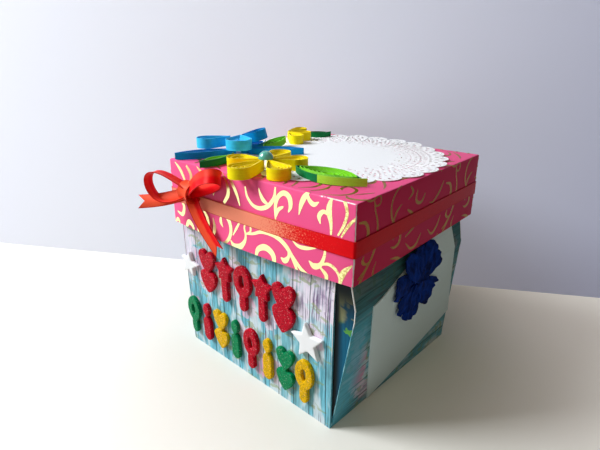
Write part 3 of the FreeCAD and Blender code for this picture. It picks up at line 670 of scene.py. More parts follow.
def welded(node, name):
    """A copy of a CAD node's mesh with its loose triangles joined."""
    work = bmesh.new()
    work.from_mesh(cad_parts[node].data)
    bmesh.ops.remove_doubles(work, verts=work.verts, dist=2e-6)
    mesh = bpy.data.meshes.new(name)
    work.to_mesh(mesh)
    work.free()
    return mesh


def solid_tree(node):
    """A CAD node's faces, ready for rays."""
    work = bmesh.new()
    work.from_mesh(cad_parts[node].data)
    tree = BVHTree.FromBMesh(work)
    work.free()
    return tree


def finished_with(piece):
    """Applies the piece's modifiers, so that its mesh is plain."""
    graph = bpy.context.evaluated_depsgraph_get()
    mesh = bpy.data.meshes.new_from_object(piece.evaluated_get(graph))
    piece.modifiers.clear()
    piece.data = mesh
    return piece


def thickened(name, mesh, modifier_name, thickness):
    """A piece whose sheet has got its thickness, behind the faces that are seen."""
    piece = linked(name, mesh)
    thick = piece.modifiers.new(modifier_name, "SOLIDIFY")
    thick.thickness = thickness
    thick.offset = -1.0
    return finished_with(piece)


def only_material(mesh, material):
    """Leaves a mesh with this material alone."""
    mesh.materials.clear()
    mesh.materials.append(material)


# ---------------------------------------------------------------- geometry nodes

def growing_tree(name, **inputs):
    """An empty Geometry Nodes tree: (the tree, the signals of its named inputs)."""
    tree = bpy.data.node_groups.new(name, "GeometryNodeTree")
    tree.interface.new_socket("Geometry", in_out="INPUT", socket_type="NodeSocketGeometry")
    for label, kind in inputs.items():
        tree.interface.new_socket(label, in_out="INPUT", socket_type=f"NodeSocket{kind}")
    tree.interface.new_socket("Geometry", in_out="OUTPUT", socket_type="NodeSocketGeometry")
    came = add(tree, "NodeGroupInput").outputs
    return tree, {socket.name: Signal(socket) for socket in came if socket.name}


def ends_in(tree, geometry, material):
    """Makes instances real, gives them their material and ends the tree."""
    real = signal(tree, "GeometryNodeRealizeInstances", {0: geometry})
    done = signal(tree, "GeometryNodeSetMaterial", {"Geometry": real, "Material": material})
    add(tree, "NodeGroupOutput", {0: done})
    return tree


def height_along(tree, axis):
    """The position of a point along one axis."""
    return split(signal(tree, "GeometryNodeInputPosition"))[axis]


def moved_by(geometry, **offset):
    """Moves points by a signal along X, Y or Z."""
    way = signal(geometry.tree, "ShaderNodeCombineXYZ", offset)
    return signal(geometry.tree, "GeometryNodeSetPosition", {"Geometry": geometry, "Offset": way})


def grown(label, data, tree, **values):
    """Runs a tree on an object of this data and returns the result as a plain mesh of one material."""
    source = linked(label, data)
    modifier = source.modifiers.new(tree.name, "NODES")
    modifier.node_group = tree
    for item in tree.interface.items_tree:
        if item.in_out == "INPUT" and item.name in values:
            modifier[item.identifier] = values[item.name]
    graph = bpy.context.evaluated_depsgraph_get()
    mesh = bpy.data.meshes.new_from_object(source.evaluated_get(graph))
    source.modifiers.clear()
    bpy.data.objects.remove(source)
    only_material(mesh, values["Finish"])
    mesh.polygons.foreach_set("material_index", [0] * len(mesh.polygons))
    return mesh


def strip_tree():
    """A paper strip that stands on edge along a path and sinks towards its inner end."""
    tree, came = growing_tree("Standing strip", Thickness="Float", Height="Float", Sink="Float",
                              Finish="Material")
    kept = add(tree, "GeometryNodeCaptureAttribute")
    kept.capture_items.new("FLOAT", "Along")
    wire(kept.inputs[0], came["Geometry"])
    wire(kept.inputs[1], signal(tree, "GeometryNodeSplineParameter", output="Factor"))
    path, along = Signal(kept.outputs[0]), Signal(kept.outputs[1])
    upright = signal(tree, "GeometryNodeSetCurveNormal", {"Curve": path}, mode="Z_UP")
    profile = signal(tree, "GeometryNodeCurvePrimitiveQuadrilateral",
                     {"Width": came["Thickness"], "Height": came["Height"]})
    swept = signal(tree, "GeometryNodeCurveToMesh",
                   {"Curve": upright, "Profile Curve": profile, "Fill Caps": True})
    upper = height_along(tree, 2) > 0.0
    down = upper * (ramp(along, 0.22, 0.85) * came["Sink"]) * -1.0
    return ends_in(tree, moved_by(swept, Z=down), came["Finish"])


def round_tree():
    """Copies of one sector turned about the Z axis, joined into a whole."""
    tree, came = growing_tree("Round repeat", Sector="Object", Count="Int", Weld="Float", Finish="Material")
    points = signal(tree, "GeometryNodeMeshLine", {"Count": came["Count"], "Offset": (0.0, 0.0, 0.0)})
    turn = signal(tree, "GeometryNodeInputIndex") * (2 * math.pi / came["Count"])
    spin = signal(tree, "ShaderNodeCombineXYZ", {"Z": turn})
    sector = signal(tree, "GeometryNodeObjectInfo", {"Object": came["Sector"]}, "Geometry")
    copies = signal(tree, "GeometryNodeInstanceOnPoints",
                    {"Points": points, "Instance": sector, "Rotation": spin})
    real = signal(tree, "GeometryNodeRealizeInstances", {0: copies})
    joined = signal(tree, "GeometryNodeMergeByDistance", {"Geometry": real, "Distance": came["Weld"]})
    return ends_in(tree, joined, came["Finish"])


def repeat_tree():
    """Copies of a pattern's repeat on a half-drop grid."""
    tree, came = growing_tree("Half-drop repeat", Repeat="Object", Across="Float", Down="Float",
                              Columns="Int", Rows="Int", Finish="Material")
    across, down = came["Across"], came["Down"]
    points = signal(tree, "GeometryNodeMeshGrid",
                    {"Size X": across * (came["Columns"] - 1.0), "Size Y": down * (came["Rows"] - 1.0),
                     "Vertices X": came["Columns"], "Vertices Y": came["Rows"]})
    odd_row = (height_along(tree, 1) / down).by("ROUND").by("PINGPONG", 1.0)
    tile = signal(tree, "GeometryNodeObjectInfo", {"Object": came["Repeat"]}, "Geometry")
    copies = signal(tree, "GeometryNodeInstanceOnPoints",
                    {"Points": moved_by(points, X=odd_row * (across * 0.5)), "Instance": tile})
    return ends_in(tree, copies, came["Finish"])


# ---------------------------------------------------------------- the lid's own axes

class LidAxes:
    """The lid's middle, turn and sizes, read from its solid."""

    def __init__(self):
        points = [v.co.copy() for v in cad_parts["lid"].data.vertices]
        self.top = max(p.z for p in points)
        self.rim = min(p.z for p in points)
        high = [p for p in points if p.z > self.top - 1e-5]
        corners = [max(high, key=lambda p: p.x * x + p.y * y)
                   for x, y in ((-1, -1), (1, -1), (1, 1), (-1, 1))]
        middle = sum(corners, Vector()) / 4
        along = corners[1] - corners[0]
        self.wide = along.length
        self.long = (corners[2] - corners[1]).length
        turn = Matrix.Rotation(math.atan2(along.y, along.x), 4, "Z")
        self.place = Matrix.Translation((middle.x, middle.y, 0)) @ turn
        back = self.place.inverted()
        self.bow = -self.long / 2 - min((back @ p).y for p in points)

    def front(self, x, depth):
        """How far out the bowed front skirt stands at a place."""
        share = depth / (self.top - self.rim)
        return self.bow * share * max(0.0, 1 - (2 * x / self.wide) ** 2)

    def fold(self, u, v, out):
        """A point of the lid's flat sheet, wrapped round the creases and raised by out."""
        x = min(max(u, -self.wide / 2), self.wide / 2)
        y = min(max(v, -self.long / 2), self.long / 2)
        if v < y:
            return Vector((x, y - self.front(x, y - v) - out, self.top - (y - v)))
        if v > y:
            return Vector((x, y + out, self.top - (v - y)))
        if u != x:
            return Vector((x + math.copysign(out, u), y, self.top - abs(u - x)))
        return Vector((x, y, self.top + out))

    def off_skirt(self, x, out, height):
        """A point out from the front skirt, all in mm but in the lid's axes."""
        depth = self.top - max(height * MM, self.rim)
        return Vector((x * MM, -self.long / 2 - self.front(x * MM, depth) - out * MM, height * MM))


# ---------------------------------------------------------------- the box

OUTER_CARD = 0.0009      # the outer sheet's thickness
BEYOND = 0.12            # where the rays that feel for a wall start
WELD = 1e-6              # points nearer than this are one


def box_walls(look):
    """The folded printed sheet, laid out flat over base and walls: its planks run along the sheet's Y, so up
    the front wall and along the right one."""
    mesh = welded("outer_box", "printed_walls")
    half = max(v.co.x for v in mesh.vertices if v.co.z < 1e-5)
    with edited(mesh) as work:
        flat = work.loops.layers.uv.new("sheet")
        for face in work.faces:
            normal, centre = face.normal, face.calc_center_median()
            side = max(range(3), key=lambda axis: (abs(normal[axis]), axis))
            outward = normal.dot(Vector((centre.x, centre.y, 0))) > 0
            cut_end = side == 0 and abs(centre.y) > half - OUTER_CARD
            face.material_index = 0 if side != 2 and outward and not cut_end else 1
            for loop in face.loops:
                p = loop.vert.co
                uv = [p.x, p.y]
                if side != 2:
                    uv[side] = math.copysign(half + p.z, normal[side])
                loop[flat].uv = uv
    only_material(mesh, printed_card(look, half))
    mesh.materials.append(plain_card("white card core", rgb(232, 230, 226)))
    placed("printed_walls", mesh, "box", "printed_card", "outer_box")
    worn_edges(look, half)


def bead(line, radius, sides=8):
    """A closed round bead along a line that rises: its points and faces."""
    points, faces = [], []
    for here in line:
        for side in range(sides):
            turn = 2 * math.pi * side / sides
            points.append(here + Vector((math.cos(turn), math.sin(turn), 0)) * radius)
    for ring in range(len(line) - 1):
        faces += ring_faces(ring * sides, (ring + 1) * sides, sides)
    faces.append(tuple(range(sides))[::-1])
    faces.append(tuple((len(line) - 1) * sides + side for side in range(sides)))
    return points, faces


def worn_edges(look, half):
    """The rubbed upright edges: four folded creases and the front and back flaps' cut edges."""
    solid = solid_tree("outer_box")
    foot, rim, steps = 0.0012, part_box("lid")[0].z - 0.0006, 14
    levels = [foot + (rim - foot) * step / steps for step in range(steps + 1)]
    # A piece: where its bare core begins, its radius, the axis that rays come along, how far in it stands.
    for name, core_above, radius, axis, inset in (("worn_creases", 0.060, look.crease, 0, 0.0011),
                                                  ("cut_edges", 0.042, look.crease * 0.7, 1, 0.0)):
        points, faces = [], []
        for out_side in (-1, 1):
            for end in (-1, 1):
                line = []
                for z in levels:
                    start, way = Vector((0, 0, z)), Vector((0, 0, 0))
                    start[axis], start[1 - axis] = out_side * BEYOND, end * (half - max(inset, radius))
                    way[axis] = -out_side
                    line.append(solid.ray_cast(start, way)[0] + way * radius * 0.7)
                joined(points, faces, *bead(line, radius))
        mesh = smooth(mesh_of(name, points, faces, worn_fold(core_above)), 60)
        placed(name, mesh, "box", "printed_card")


def inner_layers():
    """The two plain folded sheets inside."""
    for node, tone in (("middle_layer", rgb(238, 168, 190)), ("inner_layer", rgb(176, 214, 222))):
        only_material(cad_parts[node].data, plain_card(f"{node} card", tone))


def side_card_piece():
    """The white card: keeps its solid, gets its paper."""
    white = plain_card("white side card", rgb(230, 249, 250), 0.7, 0.04)
    only_material(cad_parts["side_card"].data, white)


# The side flower's petals: heading in degrees, length and width in mm.
SIDE_PETALS = [
    (20, 22, 17), (48, 22, 16), (84, 18, 16), (126, 19, 16), (168, 23, 17), (214, 19, 15), (258, 19, 20),
    (318, 20, 17), (343, 23, 6),
]
SIDE_FLOWER_HEIGHT = 0.0560


def wall_surface():
    """A function that gives the outer face of the right wall, with its card, at (y, z)."""
    trees = [solid_tree(node) for node in ("side_card", "outer_box")]
    past_the_edge = 0.0545

    def face(y, z):
        found = [tree.ray_cast(Vector((BEYOND, y, z)), Vector((-1, 0, 0)))[0] for tree in trees]
        return max((point.x for point in found if point), default=past_the_edge)

    return face


def petal_points(number, heading, long, wide, rings, spokes):
    """One ragged petal as rings of (along the wall, up the wall, share, ripple), all in metres."""
    turn = math.radians(heading)
    for ring in range(rings + 1):
        share = ring / rings
        for spoke in range(spokes):
            angle = 2 * math.pi * spoke / spokes
            x, y = math.cos(angle), math.sin(angle)
            ragged = 1 + 0.16 * noise.noise(Vector((2.4 * x, 2.4 * y, number * 7.7)))
            ragged += 0.03 * noise.noise(Vector((8 * x, 8 * y, number * 3.3)))
            along = (0.5 + 0.5 * share * x * ragged) * long * MM
            across = 0.5 * share * y * ragged * wide * MM * (0.62 + 0.38 * x)
            ripple = math.sin(across * 1300 + number) * share
            yield (along * math.cos(turn) - across * math.sin(turn),
                   along * math.sin(turn) + across * math.cos(turn), along / (long * MM), ripple)


def side_petals():
    """Ragged, wavy petals that overlap round the middle of the side flower."""
    surface = wall_surface()
    low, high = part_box("side_flower")
    middle = Vector((0, 0, SIDE_FLOWER_HEIGHT))
    edge, outer_edge = 0.0002, 0.0006
    rings, spokes = 8, 40
    points, faces = [], []
    for number, (heading, long, wide) in enumerate(SIDE_PETALS):
        first = len(points)
        lift = (0.5 + 0.35 * (number % 4)) * MM
        for y, z, reach, ripple in petal_points(number, heading, long, wide, rings, spokes):
            y = min(max(middle.y + y, low.y + edge), high.y - edge)
            z = min(max(middle.z + z, low.z + edge), high.z - edge)
            crumple = 0.6 * noise.noise(Vector((y * 300, z * 300, number)))
            out = max(0.25 * MM, lift + (0.45 * ripple + crumple + 1.3 * reach ** 2) * MM)
            points.append(Vector((min(surface(y, z) + out, high.x - outer_edge), y, z)))
        for ring in range(rings):
            for spoke in range(spokes):
                near, far = first + ring * spokes, first + (ring + 1) * spokes
                after = (spoke + 1) % spokes
                faces.append((near + spoke, far + spoke, far + after, near + after))
    mesh = mesh_of("side_petals", points, faces, crepe_paper())
    with edited(mesh) as work:
        bmesh.ops.remove_doubles(work, verts=work.verts, dist=WELD)
        for face in work.faces:
            if face.normal.x < 0:
                face.normal_flip()
    piece = thickened("side_petals", mesh, "thickness", 0.0005)
    smooth(piece.data, 60)
    return settled(piece, "box", "blue_felt", "side_flower")


def foam_shapes(look):
    """Puffy glitter shapes: each solid is rounded all over and covered in flakes."""
    finishes = {tone: glitter(f"{tone} glitter foam", getattr(look, tone), look.grain)
                for tone in ("red", "green", "yellow")}
    white = plain_card("white foam", rgb(246, 247, 248), 0.6, 0.03)
    for node in sorted(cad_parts):
        if node.startswith("foam_"):
            tone = node.split("_")[3]
            puffy(node, finishes[tone], f"{tone}_foam", look.puff)
        elif node.startswith("white_star"):
            puffy(node, white, "white_foam", look.puff)


def puffy(node, material, slot, voxel):
    """A foam solid with soft, rounded edges."""
    piece = linked(f"puffy_{node}", welded(node, f"puffy_{node}"))
    remesh = piece.modifiers.new("even skin", "REMESH")
    remesh.mode = "VOXEL"
    remesh.voxel_size = voxel
    soft = piece.modifiers.new("soft edges", "SMOOTH")
    soft.factor = 0.6
    soft.iterations = 5
    finished_with(piece)
    only_material(piece.data, material)
    for face in piece.data.polygons:
        face.use_smooth = True
    settled(piece, "box", slot, node)


# ---------------------------------------------------------------- the lid

LID_CARD = 0.0008        # the lid's thickness
HAIR = 0.0002            # how far a print stops short of an edge

# The lid's corners in turn, each with the heading at which its round begins and the way to the next one.
LID_CORNERS = (((-1, -1), 180, (1, 0)), ((1, -1), 270, (0, 1)), ((1, 1), 0, (-1, 0)), ((-1, 1), 90, (0, -1)))


def lid_ring(axes, height, grow, radius, corner_steps=5, run_steps=16):
    """A ring round the skirts at a height, with rounded corners and the bowed front."""
    wide, long = axes.wide / 2 + grow, axes.long / 2 + grow
    ring = []
    for (x, y), heading, way in LID_CORNERS:
        for step in range(corner_steps + 1):
            angle = math.radians(heading + 90 * step / corner_steps)
            ring.append(Vector((x * (wide - radius) + radius * math.cos(angle),
                                y * (long - radius) + radius * math.sin(angle), height)))
        start = ring[-1]
        run = 2 * ((wide if way[0] else long) - radius)
        ring += [start + Vector((*way, 0)) * (run * step / run_steps) for step in range(1, run_steps)]
    for point in ring:
        if point.y < 0:
            edge = max(0.0, min(1.0, (-point.y - (long - radius)) / radius)) if radius else 1.0
            point.y -= axes.front(point.x, axes.top - height) * edge
    return ring


def wear_and_highlight_at(p, axes, radius):
    """How far the white core shows at a point: worn up the front right corner and at its foot, and as a
    painted highlight along the last part of the front's upper crease."""
    corner = Vector((axes.wide / 2, -axes.long / 2))
    upright = max(0.0, 1 - (p.xy - corner).length / 0.0011)
    foot = 0.45 * max(0.0, 1 - (p.z - axes.rim) / 0.0008)
    # Painted highlight: white along the front's upper crease near the right corner.
    on_crease = axes.top - 0.8 * radius < p.z < axes.top - 0.0002 * radius and p.y < radius - axes.long / 2
    upper = 0.74 if on_crease and p.x > axes.wide / 2 - 0.016 else 0.0
    return max(upright, foot, upper)


def lid_skin(axes, look):
    """The folded pink lid: rounded creases, thin walls and an open underside."""
    radius = look.crease
    low, high = axes.rim, axes.top
    inside_top, inside_radius = high - LID_CARD, 0.0002
    depths = [0.0, 0.25, 0.5, 0.75, 1.0]
    crease_steps = 4
    rings = [lid_ring(axes, low + (inside_top - low) * (1 - share), -LID_CARD, inside_radius)
             for share in depths]
    rings += [lid_ring(axes, low + (high - radius - low) * share, 0.0, radius) for share in depths]
    for step in range(1, crease_steps + 1):
        angle = math.radians(90 * step / crease_steps)
        shrink = radius * (1 - math.cos(angle))
        rings.append(lid_ring(axes, high - radius * (1 - math.sin(angle)), -shrink,
                              max(radius - shrink, 0.00005)))
    count = len(rings[0])
    points = [p for ring in rings for p in ring]
    faces = []
    for place in range(len(rings) - 1):
        faces += ring_faces(place * count, (place + 1) * count, count)
    last = (len(rings) - 1) * count
    faces.append(tuple(last + step for step in range(count)))
    faces.append(tuple(range(count))[::-1])
    mesh = mesh_of("lid_skin", [axes.place @ p for p in points], faces, lid_card(look),
                   plain_card("lid lining", rgb(240, 226, 230)))
    inner = (len(depths) - 1) * count
    for index, face in enumerate(mesh.polygons):
        face.material_index = 1 if index < inner or index == len(faces) - 1 else 0
    # The wear attribute carries both the worn core and the painted highlight.
    wear = mesh.attributes.new("wear", "FLOAT", "POINT")
    for index, p in enumerate(points):
        wear.data[index].value = wear_and_highlight_at(p, axes, radius)
    smooth(mesh, 40)
    return placed("lid_skin", mesh, "lid", "lid_card", "lid")


# One repeat of the scroll print: strokes of (x, y, width) in mm, from the middle
# of the front skirt's upper edge.
SCROLLS = [
    [(-1, -4, 1.0), (0.5, -8, 1.6), (4, -11, 1.8), (8.5, -11.5, 2.2), (13, -9.5, 2.4), (16, -5.5, 2.0),
     (16.5, -1, 1.0)],
    [(13, -9, 1.0), (10, -7.6, 2.4), (8, -5, 1.4), (7.2, -3.2, 0.3)],
    [(17.4, -14.5, 0.8), (17, -9, 2.0), (18, -5, 2.4), (21, -2.6, 2.6), (24, -3.6, 3.0), (25, -7, 2.4),
     (24, -9.8, 0.6)],
    [(17.4, -13, 1.2), (18.6, -10, 2.0), (20.5, -8.6, 1.4), (21.4, -8, 0.3)],
    [(29.4, -9.6, 0.4), (30.4, -5, 2.6), (32, -1.8, 2.8), (34.2, 0.6, 1.0)],
    [(33, -0.5, 1.4), (34.2, -2.8, 2.2), (36.4, -4, 2.4), (38.8, -2.6, 0.4)],
    [(45, -14, 1.0), (44.7, -9.5, 1.8), (43.6, -5.2, 3.2), (44, -1.8, 2.2), (45, 0.4, 0.4)],
    [(43.8, -6.4, 1.8), (41, -5.8, 2.0), (39.2, -8, 2.4), (39.9, -10.8, 0.5)],
    [(50.2, 0.5, 2.0), (51.6, -4, 1.6), (50.4, -9, 1.5), (48, -13.5, 0.8)],
    [(56, -4.6, 1.0), (52.5, -8.6, 1.5), (49.5, -13.8, 0.8)],
    [(-9.4, -30, 0.5), (-7, -32, 2.8), (-3, -31.4, 3.4), (-0.2, -28.4, 2.2), (0.4, -25.4, 1.4),
     (-0.6, -22, 1.2), (0.6, -19.8, 1.3), (2.9, -20.4, 1.3), (3.2, -22.9, 1.3), (1.4, -24.4, 1.2)],
    [(0.8, -24.4, 1.0), (5, -23.4, 1.5), (10, -21.4, 1.9), (16.5, -21.2, 2.2), (22, -23, 2.5),
     (26.5, -27, 2.2), (30, -33, 1.4)],
    [(24, -24.2, 0.8), (28, -28, 1.5), (31.5, -31.4, 2.0), (36, -33.6, 1.4)],
    [(25, -25.4, 1.0), (25.2, -28.2, 1.8), (23.4, -30.4, 3.0), (21.2, -29.6, 0.6)],
    [(7, -34, 1.4), (8.2, -29.6, 2.8), (12.5, -27.6, 3.5), (16.8, -29.6, 3.2), (18, -34, 2.2)],
    [(26.5, -20.6, 0.4), (30, -22.4, 1.8), (34, -22.2, 1.9), (38.6, -21, 0.3)],
    [(35.4, -27, 0.5), (38, -28.6, 3.2), (41, -27, 2.2), (42.6, -22.6, 1.5), (42.4, -19, 0.8)],
    [(40.6, -27.2, 1.0), (45, -26, 1.7), (49, -28.6, 1.5), (50.4, -34, 1.0)],
    [(49.6, -34.4, 0.8), (51, -28, 3.0), (54.8, -23.6, 0.5)],
    [(41, -28.4, 1.2), (43.8, -31, 2.2), (43.4, -34.4, 0.8)],
    [(-18, -20, 1.0), (-13, -19.8, 2.4), (-10, -22.5, 2.5), (-9.4, -27, 2.4), (-12, -31.4, 2.0),
     (-17.5, -34.2, 0.4)],
    [(-16.2, -20, 0.8), (-16.4, -23, 2.4), (-14.8, -25.4, 0.4)],
    [(-7.8, -27.4, 0.4), (-5.6, -23.6, 1.6), (-3.4, -20, 0.8)],
    [(-3.8, -13, 0.6), (-6, -8.4, 2.0), (-9.5, -3.8, 2.0), (-13, -0.6, 0.6)],
    [(-14.4, -14, 1.8), (-11.6, -9.4, 2.6), (-12.6, -4.8, 1.8), (-16, -0.4, 0.5)],
    [(-49, -19, 1.0), (-45.6, -22.4, 2.6), (-47.4, -27, 2.6), (-52, -26.4, 1.0)],
    [(-42.4, -18.4, 1.2), (-38.4, -23, 2.0), (-35.2, -28, 2.2), (-33, -34, 1.2)],
    [(-45, -34, 1.8), (-42, -29.6, 3.2), (-38.4, -31, 2.2), (-37.6, -34, 0.8)],
    [(-55, -33, 0.8), (-52, -30.6, 2.4), (-49.6, -34, 0.8)],
    [(-51, -1, 0.6), (-46.6, -4.6, 2.4), (-43, -10.4, 1.6), (-43.6, -14, 0.5)],
    [(-42, -1.4, 1.6), (-38.6, -5.4, 2.6), (-39.8, -10.6, 0.6)],
    [(-34, -0.6, 0.6), (-29.4, -3.8, 2.6), (-27, -8.6, 2.2), (-30.4, -13, 0.5)],
    [(-25, -1.4, 1.4), (-21, -5.6, 2.6), (-21.8, -12, 0.6)],
    [(-30.6, -19.6, 0.8), (-26.4, -23.6, 2.4), (-26, -28.6, 2.2), (-30, -33.6, 0.4)],
    [(-23.4, -34, 0.6), (-20.8, -28, 2.6), (-22, -22.6, 0.8)],
]


SCROLL_COLUMNS, SCROLL_ROWS = 5, 9


def between(points, share):
    """A smooth curve through points, at a share of 0 to 1 of its way."""
    reach = share * (len(points) - 1)
    place = min(int(reach), len(points) - 2)
    t = reach - place
    a, b = Vector(points[place]), Vector(points[place + 1])
    before = Vector(points[place - 1]) if place else a * 2 - b
    after = Vector(points[place + 2]) if place + 2 < len(points) else b * 2 - a
    return 0.5 * (2 * a + (b - before) * t + (2 * before - 5 * a + 4 * b - after) * t ** 2
                  + (3 * a - before - 3 * b + after) * t ** 3)


def scroll_repeat(slim):
    """The strokes of one repeat as flat ribbons that swell and taper, their widths times slim."""
    levels, level_step, least_wide = 5, 0.004, 0.2
    points, faces = [], []
    for number, stroke in enumerate(SCROLLS):
        steps = 5 * (len(stroke) - 1)
        line = [between(stroke, step / steps) for step in range(steps + 1)]
        level = (number % levels) * level_step
        first = len(points)
        for step, here in enumerate(line):
            run = line[min(step + 1, steps)] - line[max(step - 1, 0)]
            across = Vector((-run.y, run.x)).normalized() * max(slim * here.z, least_wide) / 2
            points.append(Vector((here.x + across.x, here.y + across.y, level)) * MM)
            points.append(Vector((here.x - across.x, here.y - across.y, level)) * MM)
        for step in range(steps):
            a = first + 2 * step
            faces.append((a + 1, a + 3, a + 2, a))
    return linked("scroll_repeat", mesh_of("scroll_repeat", points, faces))


def scroll_sheet(axes, look, slim, tree, foil):
    """The repeats laid flat, the middle row's upper edge on the lid's front crease."""
    repeat = scroll_repeat(slim)
    sheet = grown("scroll_sheet", bpy.data.meshes.new("scroll_sheet"), tree, Repeat=repeat,
                  Across=look.repeat_wide, Down=look.repeat_tall, Columns=SCROLL_COLUMNS, Rows=SCROLL_ROWS,
                  Finish=foil)
    bpy.data.objects.remove(repeat)
    sheet.transform(Matrix.Translation((0, -axes.long / 2, 0)))
    return sheet


def cut_to_panel(sheet, low_u, high_u, low_v, high_v):
    """A copy of the flat sheet, cut to one panel of the lid."""
    work = bmesh.new()
    work.from_mesh(sheet)
    for spot, normal in (((low_u, 0, 0), (-1, 0, 0)), ((high_u, 0, 0), (1, 0, 0)),
                         ((0, low_v, 0), (0, -1, 0)), ((0, high_v, 0), (0, 1, 0))):
        everything = work.verts[:] + work.edges[:] + work.faces[:]
        bmesh.ops.bisect_plane(work, geom=everything, plane_co=spot, plane_no=normal, clear_outer=True)
    work.verts.index_update()
    return work


def scroll_print(axes, look):
    """The gold scrolls, repeated over the lid's flat sheet, cut at its edges and folded round it."""
    foil = gold_foil(look)
    tree = repeat_tree()
    broad, slim = (scroll_sheet(axes, look, share, tree, foil)
                   for share in (look.front_stroke, look.side_stroke))
    wide, long, deep = axes.wide / 2, axes.long / 2, axes.top - axes.rim
    past = 1e-7          # just over a crease, so that a point on it folds down with its skirt
    panels = [
        (slim, -wide + HAIR, wide - HAIR, -long + HAIR, long - HAIR),
        (broad, -wide + HAIR, wide - HAIR, -long - deep, -long),
        (slim, -wide + HAIR, wide - HAIR, long, long + deep),
        (slim, wide, wide + deep, -long + HAIR, long - HAIR),
        (slim, -wide - deep, -wide, -long + HAIR, long - HAIR),
    ]
    points, faces = [], []
    for sheet, low_u, high_u, low_v, high_v in panels:
        work = cut_to_panel(sheet, low_u, high_u, low_v, high_v)
        folded = []
        for vert in work.verts:
            u, v = vert.co.x, vert.co.y
            if low_u >= wide:
                u = max(u, wide + past)
            elif high_u <= -wide:
                u = min(u, -wide - past)
            elif low_v >= long:
                v = max(v, long + past)
            elif high_v <= -long:
                v = min(v, -long - past)
            folded.append(axes.place @ axes.fold(u, v, vert.co.z + look.foil))
        joined(points, faces, folded, [[vert.index for vert in face.verts] for face in work.faces])
        work.free()
    piece = thickened("scroll_print", mesh_of("scroll_print", points, faces, foil), "foil", look.foil * 0.8)
    return settled(piece, "lid", "lid_card")


# ---------------------------------------------------------------- ribbon

# All from the lid's middle: along its front, out from the skirt, and up from the band's upper edge, in mm.
BOW_KNOT = (-34.6, 3.9, 2.1)
# A loop's tip, and how far its sides stand apart.
BOW_LOOPS = [
    ((-54.9, 13.1, 4.2), (-3.0, 0.0, 11.7)),
    ((-11.8, 6.4, 13.7), (-2.0, -7.0, 3.0)),
]
# Where a tail sags to, its end, and the ways it is broad in at the knot and at its end.
BOW_TAILS = [
    ((-48.0, 8.0, -4.0), (-60.0, 16.7, -5.0), (0, 0.5, 0.9), (0.2, 0.6, 0.85)),
    ((-29.9, 4.4, -9.0), (-14.4, 2.7, -22.8), (1, 0.45, 0.2), (1.0, 0.1, 0.4)),
]


def tape(line, broad_at, wide, thick, notch=0.0, closed=False, crown=0.0, columns=6):
    """A closed ribbon along a line, broad in the given directions, with an optional notched end."""
    stations = len(line)
    total = sum((b - a).length for a, b in zip(line, line[1:]))
    points, uvs, faces = [], [], []
    run = 0.0
    for place, here in enumerate(line):
        before = line[place - 1] if place or closed else here
        after = line[(place + 1) % stations] if place + 1 < stations or closed else here
        along = (after - before).normalized()
        broad = broad_at[place] - along * broad_at[place].dot(along)
        broad.normalize()
        up = along.cross(broad)
        if place:
            run += (here - line[place - 1]).length
        for face_side in (1, -1):
            for column in range(columns + 1):
                share = (column / columns * 2 - 1) * face_side
                pull = notch * (1 - abs(share)) * (run / total) ** 3
                off = crown * (1 - share ** 2) + face_side * thick / 2
                points.append(here + broad * (share * wide / 2) + up * off - along * pull)
                uvs.append((run, share * wide / 2))
    ring = 2 * (columns + 1)
    for place in range(stations if closed else stations - 1):
        faces += ring_faces(place * ring, (place + 1) % stations * ring, ring)
    if not closed:
        for end in (0, stations - 1):
            base = end * ring
            for column in range(columns):
                quad = (base + column, base + column + 1, base + ring - 2 - column, base + ring - 1 - column)
                faces.append(quad[::-1] if end == 0 else quad)
    return points, uvs, faces


def bow_loop(knot, tip, bulge, steps=36):
    """A loop's line: out of the knot, round at the tip and back beside its start."""
    reach = tip - knot
    axis = reach.cross(bulge).normalized()
    line = []
    for step in range(steps + 1):
        turn = math.pi * step / steps
        across = 0.5 * math.sin(2 * turn) + 0.12 * math.cos(turn)
        line.append(knot + reach * math.sin(turn) + bulge * across)
    return line, [axis] * (steps + 1)


def bow_tail(start, sag, end, broad_start, broad_end, steps=22):
    """A tail's line from the knot to its notched end."""
    line, broad = [], []
    for step in range(steps + 1):
        share = step / steps
        line.append(start * (1 - share) ** 2 + sag * (2 * share * (1 - share)) + end * share ** 2)
        broad.append(broad_start * (1 - share) + broad_end * share)
    return line, broad


def bow_wrap(knot, steps=28):
    """The short wrap that covers the knot."""
    line = []
    for step in range(steps):
        angle = 2 * math.pi * step / steps
        out, up = math.sin(angle), math.cos(angle)
        line.append(knot + Vector((0.0004 * out, 0.0042 * out, 0.0045 * up)))
    return tape(line, [Vector((1, 0, -0.16))] * steps, 0.0062, 0.0006, closed=True, crown=0.0005)


